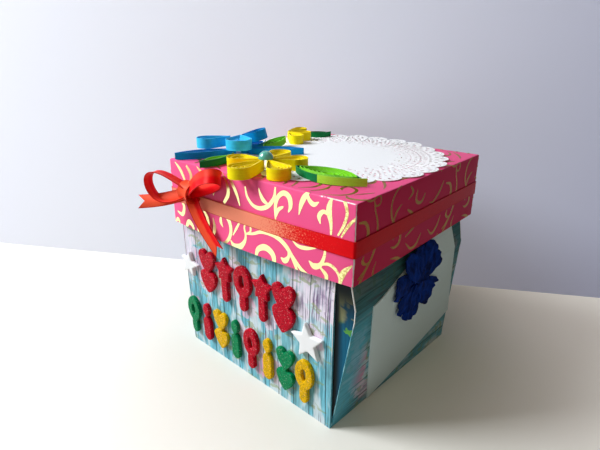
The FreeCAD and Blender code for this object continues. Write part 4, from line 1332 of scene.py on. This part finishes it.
def ribbon(axes, look):
    """The satin band round the lid and the bow tied at its front left."""
    low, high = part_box("ribbon_band")
    band = lid_ring(axes, (low.z + high.z) / 2, 0.0003, 0.0009)
    flat_band = tape(band, [Vector((0, 0, 1))] * len(band), look.wide - 0.00004, 0.00034, closed=True)
    ribbon_piece("satin_band", axes, [flat_band], "ribbon_band",
                 satin(look, "faded red satin", painted_sheen_run=axes.wide))

    def off(x, out, up):
        """A point off the front skirt, up from the band's upper edge."""
        return axes.off_skirt(x, out, high.z / MM + up)

    knot = off(*BOW_KNOT)
    parts = []
    for tip, bulge in BOW_LOOPS:
        line, broad = bow_loop(knot, off(*tip), Vector(bulge) * MM)
        parts.append(tape(line, broad, look.wide, look.thick, crown=0.0002))
    for sag, end, first, last in BOW_TAILS:
        line, broad = bow_tail(knot, off(*sag), off(*end), Vector(first), Vector(last))
        parts.append(tape(line, broad, look.wide, look.thick, notch=look.notch, crown=-0.0009))
    parts.append(bow_wrap(knot))
    # The bow's pale red and orange red satins carry stronger painted highlights.
    ribbon_piece("satin_bow", axes, parts, "ribbon_bow", satin(look, "red satin"),
                 satin(look, "pale red satin", folds=0.92),
                 satin(look, "orange red satin", folds=0.92, fold_edge=0.0050), finish_of=(0, 0, 2, 1, 2))


def ribbon_piece(name, axes, parts, node, *materials, finish_of=(0,)):
    """Joins tapes into one piece with its own UV map; finish_of says which satin each tape is of."""
    points, uvs, faces, finishes = [], [], [], []
    for number, (some_points, some_uvs, some_faces) in enumerate(parts):
        joined(points, faces, [axes.place @ p for p in some_points], some_faces)
        uvs += some_uvs
        finishes += [finish_of[number]] * len(some_faces)
    mesh = mesh_of(name, points, faces, *materials)
    mesh.polygons.foreach_set("material_index", finishes)
    layer = mesh.uv_layers.new(name="sheet")
    for loop in mesh.loops:
        layer.data[loop.index].uv = uvs[loop.vertex_index]
    smooth(mesh, 50)
    return placed(name, mesh, "lid", "satin_ribbon", node)


# ---------------------------------------------------------------- doily

SCALLOP = 0.46           # how far a scallop swells out, as a share of its width
LACE_FOOT = 0.58         # where the lace begins, as a share of the way out to the scallops
LACE_WELD = 0.00002      # points nearer than this are joined
# The holes of one sector: how far out from the scallops' foot, the turns off the sector's middle as shares
# of its width, half the length, half the breadth and the corners. Lengths are in twelfths of a sector.
LACE_HOLES = [
    (2.4, (0.0,), 1.15, 0.7, 8), (0.2, (-0.26, 0.26), 1.2, 0.6, 8), (4.4, (0.0,), 0.42, 0.42, 6),
    (3.3, (-0.24, 0.24), 0.5, 0.5, 6), (-2.6, (-0.38, -0.13, 0.13, 0.38), 0.8, 0.5, 7),
    (-5.0, (-0.25, 0.0, 0.25), 1.0, 0.5, 7), (-7.3, (-0.36, -0.12, 0.12, 0.36), 0.75, 0.6, 6),
    (-9.6, (-0.2, 0.2), 0.95, 0.6, 6), (-12.0, (-0.33, 0.0, 0.33), 0.45, 0.85, 6),
    (-14.2, (-0.22, 0.22), 0.85, 0.45, 6), (-16.6, (0.0,), 0.4, 1.3, 6), (-18.6, (0.0,), 0.6, 0.4, 6),
]


def polar(reach, angle):
    """The flat point at a reach and an angle."""
    return reach * math.cos(angle), reach * math.sin(angle)


def lace_sector(radius, scallops):
    """One sector of the lace rim: a scallop and its pierced holes, flat, on +X."""
    step = 2 * math.pi / scallops
    curve = bpy.data.curves.new("lace_sector", "CURVE")
    curve.dimensions = "2D"
    curve.fill_mode = "BOTH"
    edge = [polar(radius * LACE_FOOT, -step / 2 + step * share / 4) for share in range(5)]
    swell = SCALLOP * radius * step
    for share in range(13):
        angle = math.pi * (0.5 - share / 12)
        edge.append(polar(radius + swell * max(0.0, math.cos(angle)) ** 0.8, step / 2 * math.sin(angle)))
    drawn_line(curve, edge, closed=True)

    unit = radius * step / 12
    for out, turns, long, wide, corners in LACE_HOLES:
        for turn in turns:
            turn *= step
            x, y = polar(radius + out * unit, turn)
            ring = []
            for corner in range(corners):
                angle = 2 * math.pi * corner / corners
                a, b = long * unit * math.cos(angle), wide * unit * math.sin(angle)
                ring.append((x + a * math.cos(turn) - b * math.sin(turn),
                             y + a * math.sin(turn) + b * math.cos(turn)))
            drawn_line(curve, ring, closed=True)
    return linked("lace_sector", curve)


def fill_middle(work, reach, scallops):
    """The plain middle inside the lace: rings of faces round a hub, on the points where the lace begins."""
    step = 2 * math.pi / scallops
    outer = [work.verts.new((*polar(reach, -step / 2 + step * number / 4), 0))
             for number in range(4 * scallops)]
    rings = [outer]
    for share in (0.8, 0.6, 0.4, 0.2):
        rings.append([work.verts.new((v.co.x * share, v.co.y * share, 0)) for v in outer])
    hub = work.verts.new((0, 0, 0))
    count = len(outer)
    for near, far in zip(rings[1:], rings):
        for place in range(count):
            after = (place + 1) % count
            work.faces.new((near[place], far[place], far[after], near[after]))
    for place in range(count):
        work.faces.new((hub, rings[-1][place], rings[-1][(place + 1) % count]))


def doily(axes, look):
    """The paper-lace doily: a pierced rim repeated round a plain embossed middle."""
    low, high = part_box("paper_doily")
    centre = axes.place.inverted() @ ((low + high) / 2)
    radius = ((high.x - low.x) / 2 - look.trim) / (1 + SCALLOP * (2 * math.pi / look.scallops))
    sector = lace_sector(radius, look.scallops)
    mesh = grown("lace_rim", bpy.data.meshes.new("lace_rim"), round_tree(), Sector=sector,
                 Count=look.scallops, Weld=LACE_WELD, Finish=lace_paper())
    bpy.data.objects.remove(sector)
    with edited(mesh) as work:
        fill_middle(work, radius * LACE_FOOT, look.scallops)
        bmesh.ops.remove_doubles(work, verts=work.verts, dist=LACE_WELD)
        flat = work.loops.layers.uv.new("sheet")
        for face in work.faces:
            if face.normal.z < 0:
                face.normal_flip()
            for loop in face.loops:
                loop[flat].uv = loop.vert.co.xy
        for vert in work.verts:
            x, y = vert.co.xy
            away = max(0.0, math.hypot(x, y) / radius - 0.78) / 0.3
            ripple = 0.5 + 0.5 * noise.noise(Vector((x * 40, y * 40, 3.0)))
            back = 0.35 + 0.65 * max(0.0, min(1.0, 0.5 + y / radius))
            lift = look.curl * back * ripple * away ** 2
            flat_place = Vector((centre.x - look.shift + x, centre.y + look.trim + y, high.z + lift))
            vert.co = axes.place @ flat_place
    piece = thickened("lace_doily", mesh, "paper", look.paper * 0.8)
    return settled(piece, "lid", "white_paper", "paper_doily")


# ---------------------------------------------------------------- quilling

FULL_STRIP = 0.005       # a strip as tall as this sinks by the whole of the set amount
# Coils that rise from the root: the height of their strip. The others lie flat.
RISING = {"blue_top_petal_2": 0.0050, "leaf_middle": 0.0033}
# Beside the yellow flowers, as (piece, solid, whether it is a drop, its strip, its inner turns' strip).
COILS = [
    ("blue_low_1", "blue_low_petal_1", False, "blue", None),
    ("blue_low_2", "blue_low_petal_2", False, "blue", None),
    ("blue_low_3", "blue_low_petal_3", False, "blue", None),
    ("blue_heart", "blue_heart", True, "light_blue", None),
    ("blue_top_1", "blue_top_petal_1", True, "light_blue", None),
    ("blue_top_2", "blue_top_petal_2", True, "blue", None),
    ("leaf_front_left", "leaf_front_left", False, "green", "light_green"),
    ("leaf_front_right", "leaf_front_right", False, "green", "light_green"),
    ("leaf_middle", "leaf_middle", False, "light_green", None),
    ("leaf_back", "leaf_back", False, "green", None),
]


def coil_axes(node):
    """A coil's pinched root, its far tip and half its width, read from its solid."""
    low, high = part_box(node)
    flat = [v.co.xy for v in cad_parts[node].data.vertices]
    middle = ((low + high) / 2).xy
    first = max(flat, key=lambda p: (p - middle).length)
    second = max(flat, key=lambda p: (p - first).length)
    first = max(flat, key=lambda p: (p - second).length)
    span = (second - first).length
    along = (second - first).normalized()
    across = Vector((-along.y, along.x))
    widths = [0.0, 0.0]
    for p in flat:
        share = (p - first).dot(along) / span
        for end, near in enumerate((share < 0.3, share > 0.7)):
            if near:
                widths[end] = max(widths[end], abs((p - first).dot(across)))
    if widths[0] > widths[1] + 0.0002:
        first, second = second, first
    return first, second, max(abs((p - first).dot(across)) for p in flat)


def coil_outline(long, half, drop):
    """A coil's outer turn as points from its pinched root, round its far end and back."""
    upper = []
    if drop:
        # A pinched drop: two nearly straight sides that touch a round end.
        centre = long - half
        lean = math.asin(min(0.95, half / centre))
        touch = Vector((centre - half * math.sin(lean), half * math.cos(lean)))
        for step in range(12):
            share = step / 12
            bow = 0.05 * half * math.sin(math.pi * share)
            upper.append(touch * share + Vector((-math.sin(lean), math.cos(lean))) * bow)
        for step in range(17):
            angle = (math.pi / 2 + lean) * (1 - step / 16)
            upper.append(Vector((centre + half * math.cos(angle), half * math.sin(angle))))
    else:
        # A leaf, pinched at both ends.
        for step in range(25):
            share = step / 24
            upper.append(Vector((long * share, half * 4 * share * (1 - share))))
    lower = [Vector((p.x, -p.y)) for p in upper[-2:0:-1]]
    return upper + lower


def lowest_near(node, spot):
    """The lowest point of a solid near a place on the lid."""
    points = [v.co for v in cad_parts[node].data.vertices]
    reach = 0.003
    return min(p.z for p in points if (p.xy - spot).length < reach)


def coil_path(long, half, drop, look, seed):
    """A rolled strip's path from its outer end inwards: each turn lies inside the one before."""
    edge = coil_outline(long, half, drop)
    anchor = Vector(((0.42 if drop else 0.5) * long, 0))
    turns = (1 - look.heart) * half / look.pitch
    steps = int(turns * len(edge))
    path = []
    for step in range(steps + 1):
        size = 1 - (1 - look.heart) * step / steps
        place = step % len(edge)
        sway = 1 + 0.10 * (1 - size) * math.sin(6 * math.pi * place / len(edge) + seed)
        path.append(anchor + (edge[place] - anchor) * size * sway)
    return path, len(edge)


def strip_coil(name, node, finish_and_slot, tree, look, drop=True, inner=None, front_tip=None):
    """A coil rebuilt as one rolled strip that stands on edge where its solid is."""
    root, tip, half = coil_axes(node)
    low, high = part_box(node)
    span = (tip - root).length
    tall, rise = high.z - low.z, 0.0
    if node in RISING:
        tall = RISING[node]
        rise = math.asin((high.z - low.z - tall) / span)
        if lowest_near(node, tip) < lowest_near(node, root):
            root, tip = tip, root
    heading = math.atan2(tip.y - root.y, tip.x - root.x)
    seed = sum(ord(letter) for letter in node) % 17
    path, turn_points = coil_path(span - look.strip, half - look.strip / 2, drop, look, seed)
    runs = [(name, path, *finish_and_slot)]
    if inner:
        cut = turn_points + 4
        runs = [(name, path[:cut], *finish_and_slot), (f"{name}_inner", path[cut - 2:], *inner)]
    stand = Matrix.Translation((root.x, root.y, low.z)) @ Matrix.Rotation(heading, 4, "Z")
    stand = stand @ Matrix.Rotation(-rise, 4, "Y") @ Matrix.Translation((look.strip / 2, 0, tall / 2))
    for number, (label, line, material, slot) in enumerate(runs):
        curve = bpy.data.curves.new(label, "CURVE")
        curve.dimensions = "3D"
        drawn_line(curve, line)
        lower_by = 0.0002 * number
        mesh = grown(label, curve, tree, Thickness=look.strip, Height=tall - lower_by,
                     Sink=look.sink * tall / FULL_STRIP, Finish=material)
        mesh.transform(stand)
        if front_tip and number == 0:
            mesh.materials.append(front_tip)
            recolour_front_tip(mesh, root, tip)
        smooth(mesh, 50)
        placed(label, mesh, "lid", slot, *([node] if number == 0 else []))


def recolour_front_tip(mesh, root, tip):
    """Gives the second material to the faces on a leaf's front side, from its middle to its right tip."""
    left, right = sorted((root, tip), key=lambda end: end.x)
    run = right - left
    outward = Vector((run.y, -run.x)).normalized()
    for face in mesh.polygons:
        off = face.center.xy - left
        if off.dot(run) / run.length_squared > 0.5 and off.dot(outward) > 0:
            face.material_index = 1


def quilling(look):
    """Every quilled petal and leaf, and the pearl on the yellow flower."""
    tree = strip_tree()
    strips = {tone: (quill_paper(f"{tone.replace('_', ' ')} strip", getattr(look, tone)), f"{tone}_strip")
              for tone in ("yellow", "light_blue", "blue", "light_green", "green")}
    for node in sorted(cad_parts):
        if node.startswith("yellow_") and "petal" in node:
            strip_coil(f"coil_{node}", node, strips["yellow"], tree, look)
    for piece, node, drop, outer, inner in COILS:
        tip = quill_paper("lime strip", look.lime) if piece == "leaf_front_right" else None
        strip_coil(f"coil_{piece}", node, strips[outer], tree, look, drop, strips.get(inner), tip)
    set_pearl()


def set_pearl():
    """The half pearl in the middle of the yellow flower."""
    low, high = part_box("half_pearl")
    radius = high.z - low.z
    centre = (low + high) / 2
    points, faces = [], []
    rings, spokes = 10, 36
    for ring in range(rings):
        lift = math.pi / 2 * ring / rings
        reach = radius * math.cos(lift)
        for spoke in range(spokes):
            turn = 2 * math.pi * spoke / spokes
            points.append(Vector((centre.x + reach * math.cos(turn), centre.y + reach * math.sin(turn),
                                  low.z + radius * math.sin(lift))))
    points.append(Vector((centre.x, centre.y, high.z)))
    for ring in range(rings - 1):
        faces += ring_faces(ring * spokes, (ring + 1) * spokes, spokes)
    last = (rings - 1) * spokes
    faces += [(last + spoke, last + (spoke + 1) % spokes, rings * spokes) for spoke in range(spokes)]
    faces.append(tuple(range(spokes))[::-1])
    mesh = smooth(mesh_of("pearl", points, faces, pearl_finish()), 60)
    placed("pearl", mesh, "lid", "pearl", "half_pearl")


# ---------------------------------------------------------------- stage

CAMERA = {
    "place": (0.152039, -0.177239, 0.155904),
    "forward": (-0.644528, 0.679889, -0.349764),
    "up": (-0.243811, 0.250815, 0.936829),
}
# The foot of the standing sheet where it comes into view at the left and at the right.
SHEET_FOOT = Vector((-0.2265, -0.0456, 0)), Vector((0.1073, 0.1649, 0))


def seen_directly(tree):
    """Whether a surface is seen by the camera, in a reflection or through another surface."""
    path = add(tree, "ShaderNodeLightPath").outputs
    camera, glossy, through = (Signal(path[f"Is {way} Ray"]) for way in ("Camera", "Glossy", "Transmission"))
    return camera.by("MAXIMUM", glossy.by("MAXIMUM", through))


def backdrop_finish(name, tone, first_glow, last_glow, span, around=False, bounce=0.6):
    """Board that looks pale and keeps the soft shadow, carries a painted glow that changes across a span,
    throws back only a share of the light and is clear from behind."""
    material, shader, flat = finish(name, 0.9, Specular_IOR_Level=0.1)
    tree = material.node_tree
    wire(shader.inputs["Base Color"], tone)
    reach = reach_of(flat) if around else split(flat)[0]
    # Painted light and shade: a glow from the first glow to the last across the span.
    light = signal(tree, "ShaderNodeEmission", {"Color": mixed(ramp(reach, *span), first_glow, last_glow)})
    lit = signal(tree, "ShaderNodeAddShader", {0: Signal(shader.outputs[0]), 1: light})
    dim = signal(tree, "ShaderNodeBsdfDiffuse", {"Color": (*(part * bounce for part in tone[:3]), 1)})
    shown = signal(tree, "ShaderNodeMixShader", {0: seen_directly(tree), 1: dim, 2: lit})
    clear = signal(tree, "ShaderNodeBsdfTransparent")
    from_camera = signal(tree, "ShaderNodeLightPath", output="Is Camera Ray")
    behind = signal(tree, "ShaderNodeNewGeometry", output="Backfacing") * from_camera
    end = next(node for node in tree.nodes if node.type == "OUTPUT_MATERIAL")
    wire(end.inputs["Surface"], signal(tree, "ShaderNodeMixShader", {0: behind, 1: shown, 2: clear}))
    return material


def area_lamp(name, place, aim, size, power, tone):
    """A soft square lamp that looks at a point."""
    data = bpy.data.lights.new(name, "AREA")
    data.shape = "SQUARE"
    data.size = size
    data.energy = power
    data.color = tone
    lamp = linked(name, data)
    lamp.location = place
    lamp.rotation_euler = (Vector(aim) - Vector(place)).to_track_quat("-Z", "Y").to_euler()
    return lamp


def sky(look):
    """A world that lights evenly and looks pale where the camera sees it."""
    world = bpy.data.worlds.new("studio")
    world.use_nodes = True
    tree = world.node_tree
    fill = tree.nodes["Background"]
    fill.inputs["Color"].default_value = rgb(254, 240, 206)
    fill.inputs["Strength"].default_value = look.fill
    shown = signal(tree, "ShaderNodeBackground", {"Color": rgb(216, 220, 232), "Strength": 1.0})
    lights = Signal(fill.outputs[0])
    both = signal(tree, "ShaderNodeMixShader", {0: seen_directly(tree), 1: lights, 2: shown})
    wire(tree.nodes["World Output"].inputs["Surface"], both)
    return world


def stage(look):
    """Floor, the pale sheet behind the box, soft lamp, world and camera."""
    reach = 1.5
    # Painted shade and light on the floor: a dim glow near the box, brighter further out.
    board = backdrop_finish("warm white board", rgb(231, 228, 220), rgb(48, 48, 36), rgb(142, 136, 132),
                            (0.06, 0.17), around=True)
    floor = mesh_of("floor", [(-reach, -reach, 0), (reach, -reach, 0), (reach, reach, 0), (-reach, reach, 0)],
                    [(0, 1, 2, 3)], board)
    start, end = SHEET_FOOT
    beyond = (end - start).normalized() * 1.6
    a, b, tall = start - beyond, end + beyond, Vector((0, 0, 1.1))
    # Painted light on the backdrop: a bright glow at the left that falls to a faint blue at the right.
    board = backdrop_finish("cool white board", rgb(208, 214, 234), rgb(158, 154, 146), rgb(0, 14, 84),
                            (-0.25, 0.30))
    wall = mesh_of("backdrop", [a, b, b + tall, a + tall], [(0, 1, 2, 3)], board)
    for mesh in (floor, wall):
        linked(mesh.name, mesh)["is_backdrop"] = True

    area_lamp("key", (-0.57, -0.57, 0.72), (0, 0, 0.05), 0.45, look.key, (0.92, 0.96, 1.0))
    bpy.context.scene.world = sky(look)

    data = bpy.data.cameras.new("camera")
    data.lens = 28.05
    data.sensor_width = 36.0
    data.clip_start = 0.01
    camera = linked("camera", data)
    forward, up = Vector(CAMERA["forward"]).normalized(), Vector(CAMERA["up"]).normalized()
    right = forward.cross(up).normalized()
    turn = Matrix((right, right.cross(forward), -forward)).transposed().to_4x4()
    camera.matrix_world = Matrix.Translation(CAMERA["place"]) @ turn
    bpy.context.scene.camera = camera
    bpy.context.scene.view_settings.view_transform = "Standard"


# ---------------------------------------------------------------- operators

class SetStage(bpy.types.Operator):
    """Sets the floor, backdrop, lamp, world and camera"""
    bl_idname = "explosion_box.stage"
    bl_label = "Stage"

    def execute(self, context):
        stage(context.scene.box_stage)
        return {"FINISHED"}


class DressWalls(bpy.types.Operator):
    """Prints the outer sheet with planks and blossoms and rubs its upright edges"""
    bl_idname = "explosion_box.walls"
    bl_label = "Printed walls"

    def execute(self, context):
        box_walls(context.scene.box_print)
        return {"FINISHED"}


class LineBox(bpy.types.Operator):
    """Gives the two folded sheets inside their plain card"""
    bl_idname = "explosion_box.layers"
    bl_label = "Inner sheets"

    def execute(self, context):
        inner_layers()
        return {"FINISHED"}


class PuffFoam(bpy.types.Operator):
    """Rounds the foam shapes and stars and covers them in glitter"""
    bl_idname = "explosion_box.foam"
    bl_label = "Foam shapes"

    def execute(self, context):
        foam_shapes(context.scene.box_foam)
        return {"FINISHED"}


class MakeSideFlower(bpy.types.Operator):
    """Lays the white side card and the crepe flower on the right wall"""
    bl_idname = "explosion_box.side_flower"
    bl_label = "Side card and flower"

    def execute(self, context):
        side_card_piece()
        side_petals()
        return {"FINISHED"}


class FoldLid(bpy.types.Operator):
    """Folds the pink lid and lays the gold scrolls round it"""
    bl_idname = "explosion_box.lid"
    bl_label = "Lid and scrolls"

    def execute(self, context):
        axes = LidAxes()
        lid_skin(axes, context.scene.box_lid)
        scroll_print(axes, context.scene.box_lid)
        return {"FINISHED"}


class TieRibbon(bpy.types.Operator):
    """Lays the satin band round the lid and ties its bow"""
    bl_idname = "explosion_box.ribbon"
    bl_label = "Ribbon and bow"

    def execute(self, context):
        ribbon(LidAxes(), context.scene.box_ribbon)
        return {"FINISHED"}


class LayDoily(bpy.types.Operator):
    """Pierces and embosses the paper doily"""
    bl_idname = "explosion_box.doily"
    bl_label = "Doily"

    def execute(self, context):
        doily(LidAxes(), context.scene.box_doily)
        return {"FINISHED"}


class RollQuilling(bpy.types.Operator):
    """Rolls the quilled flowers and leaves and sets the pearl"""
    bl_idname = "explosion_box.quilling"
    bl_label = "Quilled flowers"

    def execute(self, context):
        quilling(context.scene.box_quill)
        return {"FINISHED"}


STEPS = (SetStage, DressWalls, LineBox, PuffFoam, MakeSideFlower, FoldLid, TieRibbon, LayDoily, RollQuilling)
LOOKS = {
    "box_print": PrintLook, "box_lid": LidLook, "box_ribbon": RibbonLook, "box_quill": QuillLook,
    "box_doily": DoilyLook, "box_foam": FoamLook, "box_stage": StageLook,
}


class BoxPanel(bpy.types.Panel):
    """Lists the steps that make the explosion box"""
    bl_idname = "VIEW3D_PT_explosion_box"
    bl_label = "Explosion box"
    bl_space_type = "VIEW_3D"
    bl_region_type = "UI"
    bl_category = "Explosion box"

    def draw(self, context):
        for name, group in LOOKS.items():
            column = self.layout.column(align=True)
            for prop in group.__annotations__:
                column.prop(getattr(context.scene, name), prop)
        for step in STEPS:
            self.layout.operator(step.bl_idname)


def register():
    for group in (*LOOKS.values(), *STEPS, BoxPanel):
        bpy.utils.register_class(group)
    for name, group in LOOKS.items():
        setattr(bpy.types.Scene, name, PointerProperty(type=group))


def unregister():
    for name in LOOKS:
        delattr(bpy.types.Scene, name)
    for group in (BoxPanel, *STEPS[::-1], *LOOKS.values()):
        bpy.utils.unregister_class(group)


def main():
    """Makes everything in order."""
    register()
    for step in STEPS:
        module, name = step.bl_idname.split(".")
        getattr(getattr(bpy.ops, module), name)()
    low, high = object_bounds()
    sizes = {"cad": [list(CAD_LOW), list(CAD_HIGH)], "visual": [list(low), list(high)]}


if __name__ == "__main__":
    main()
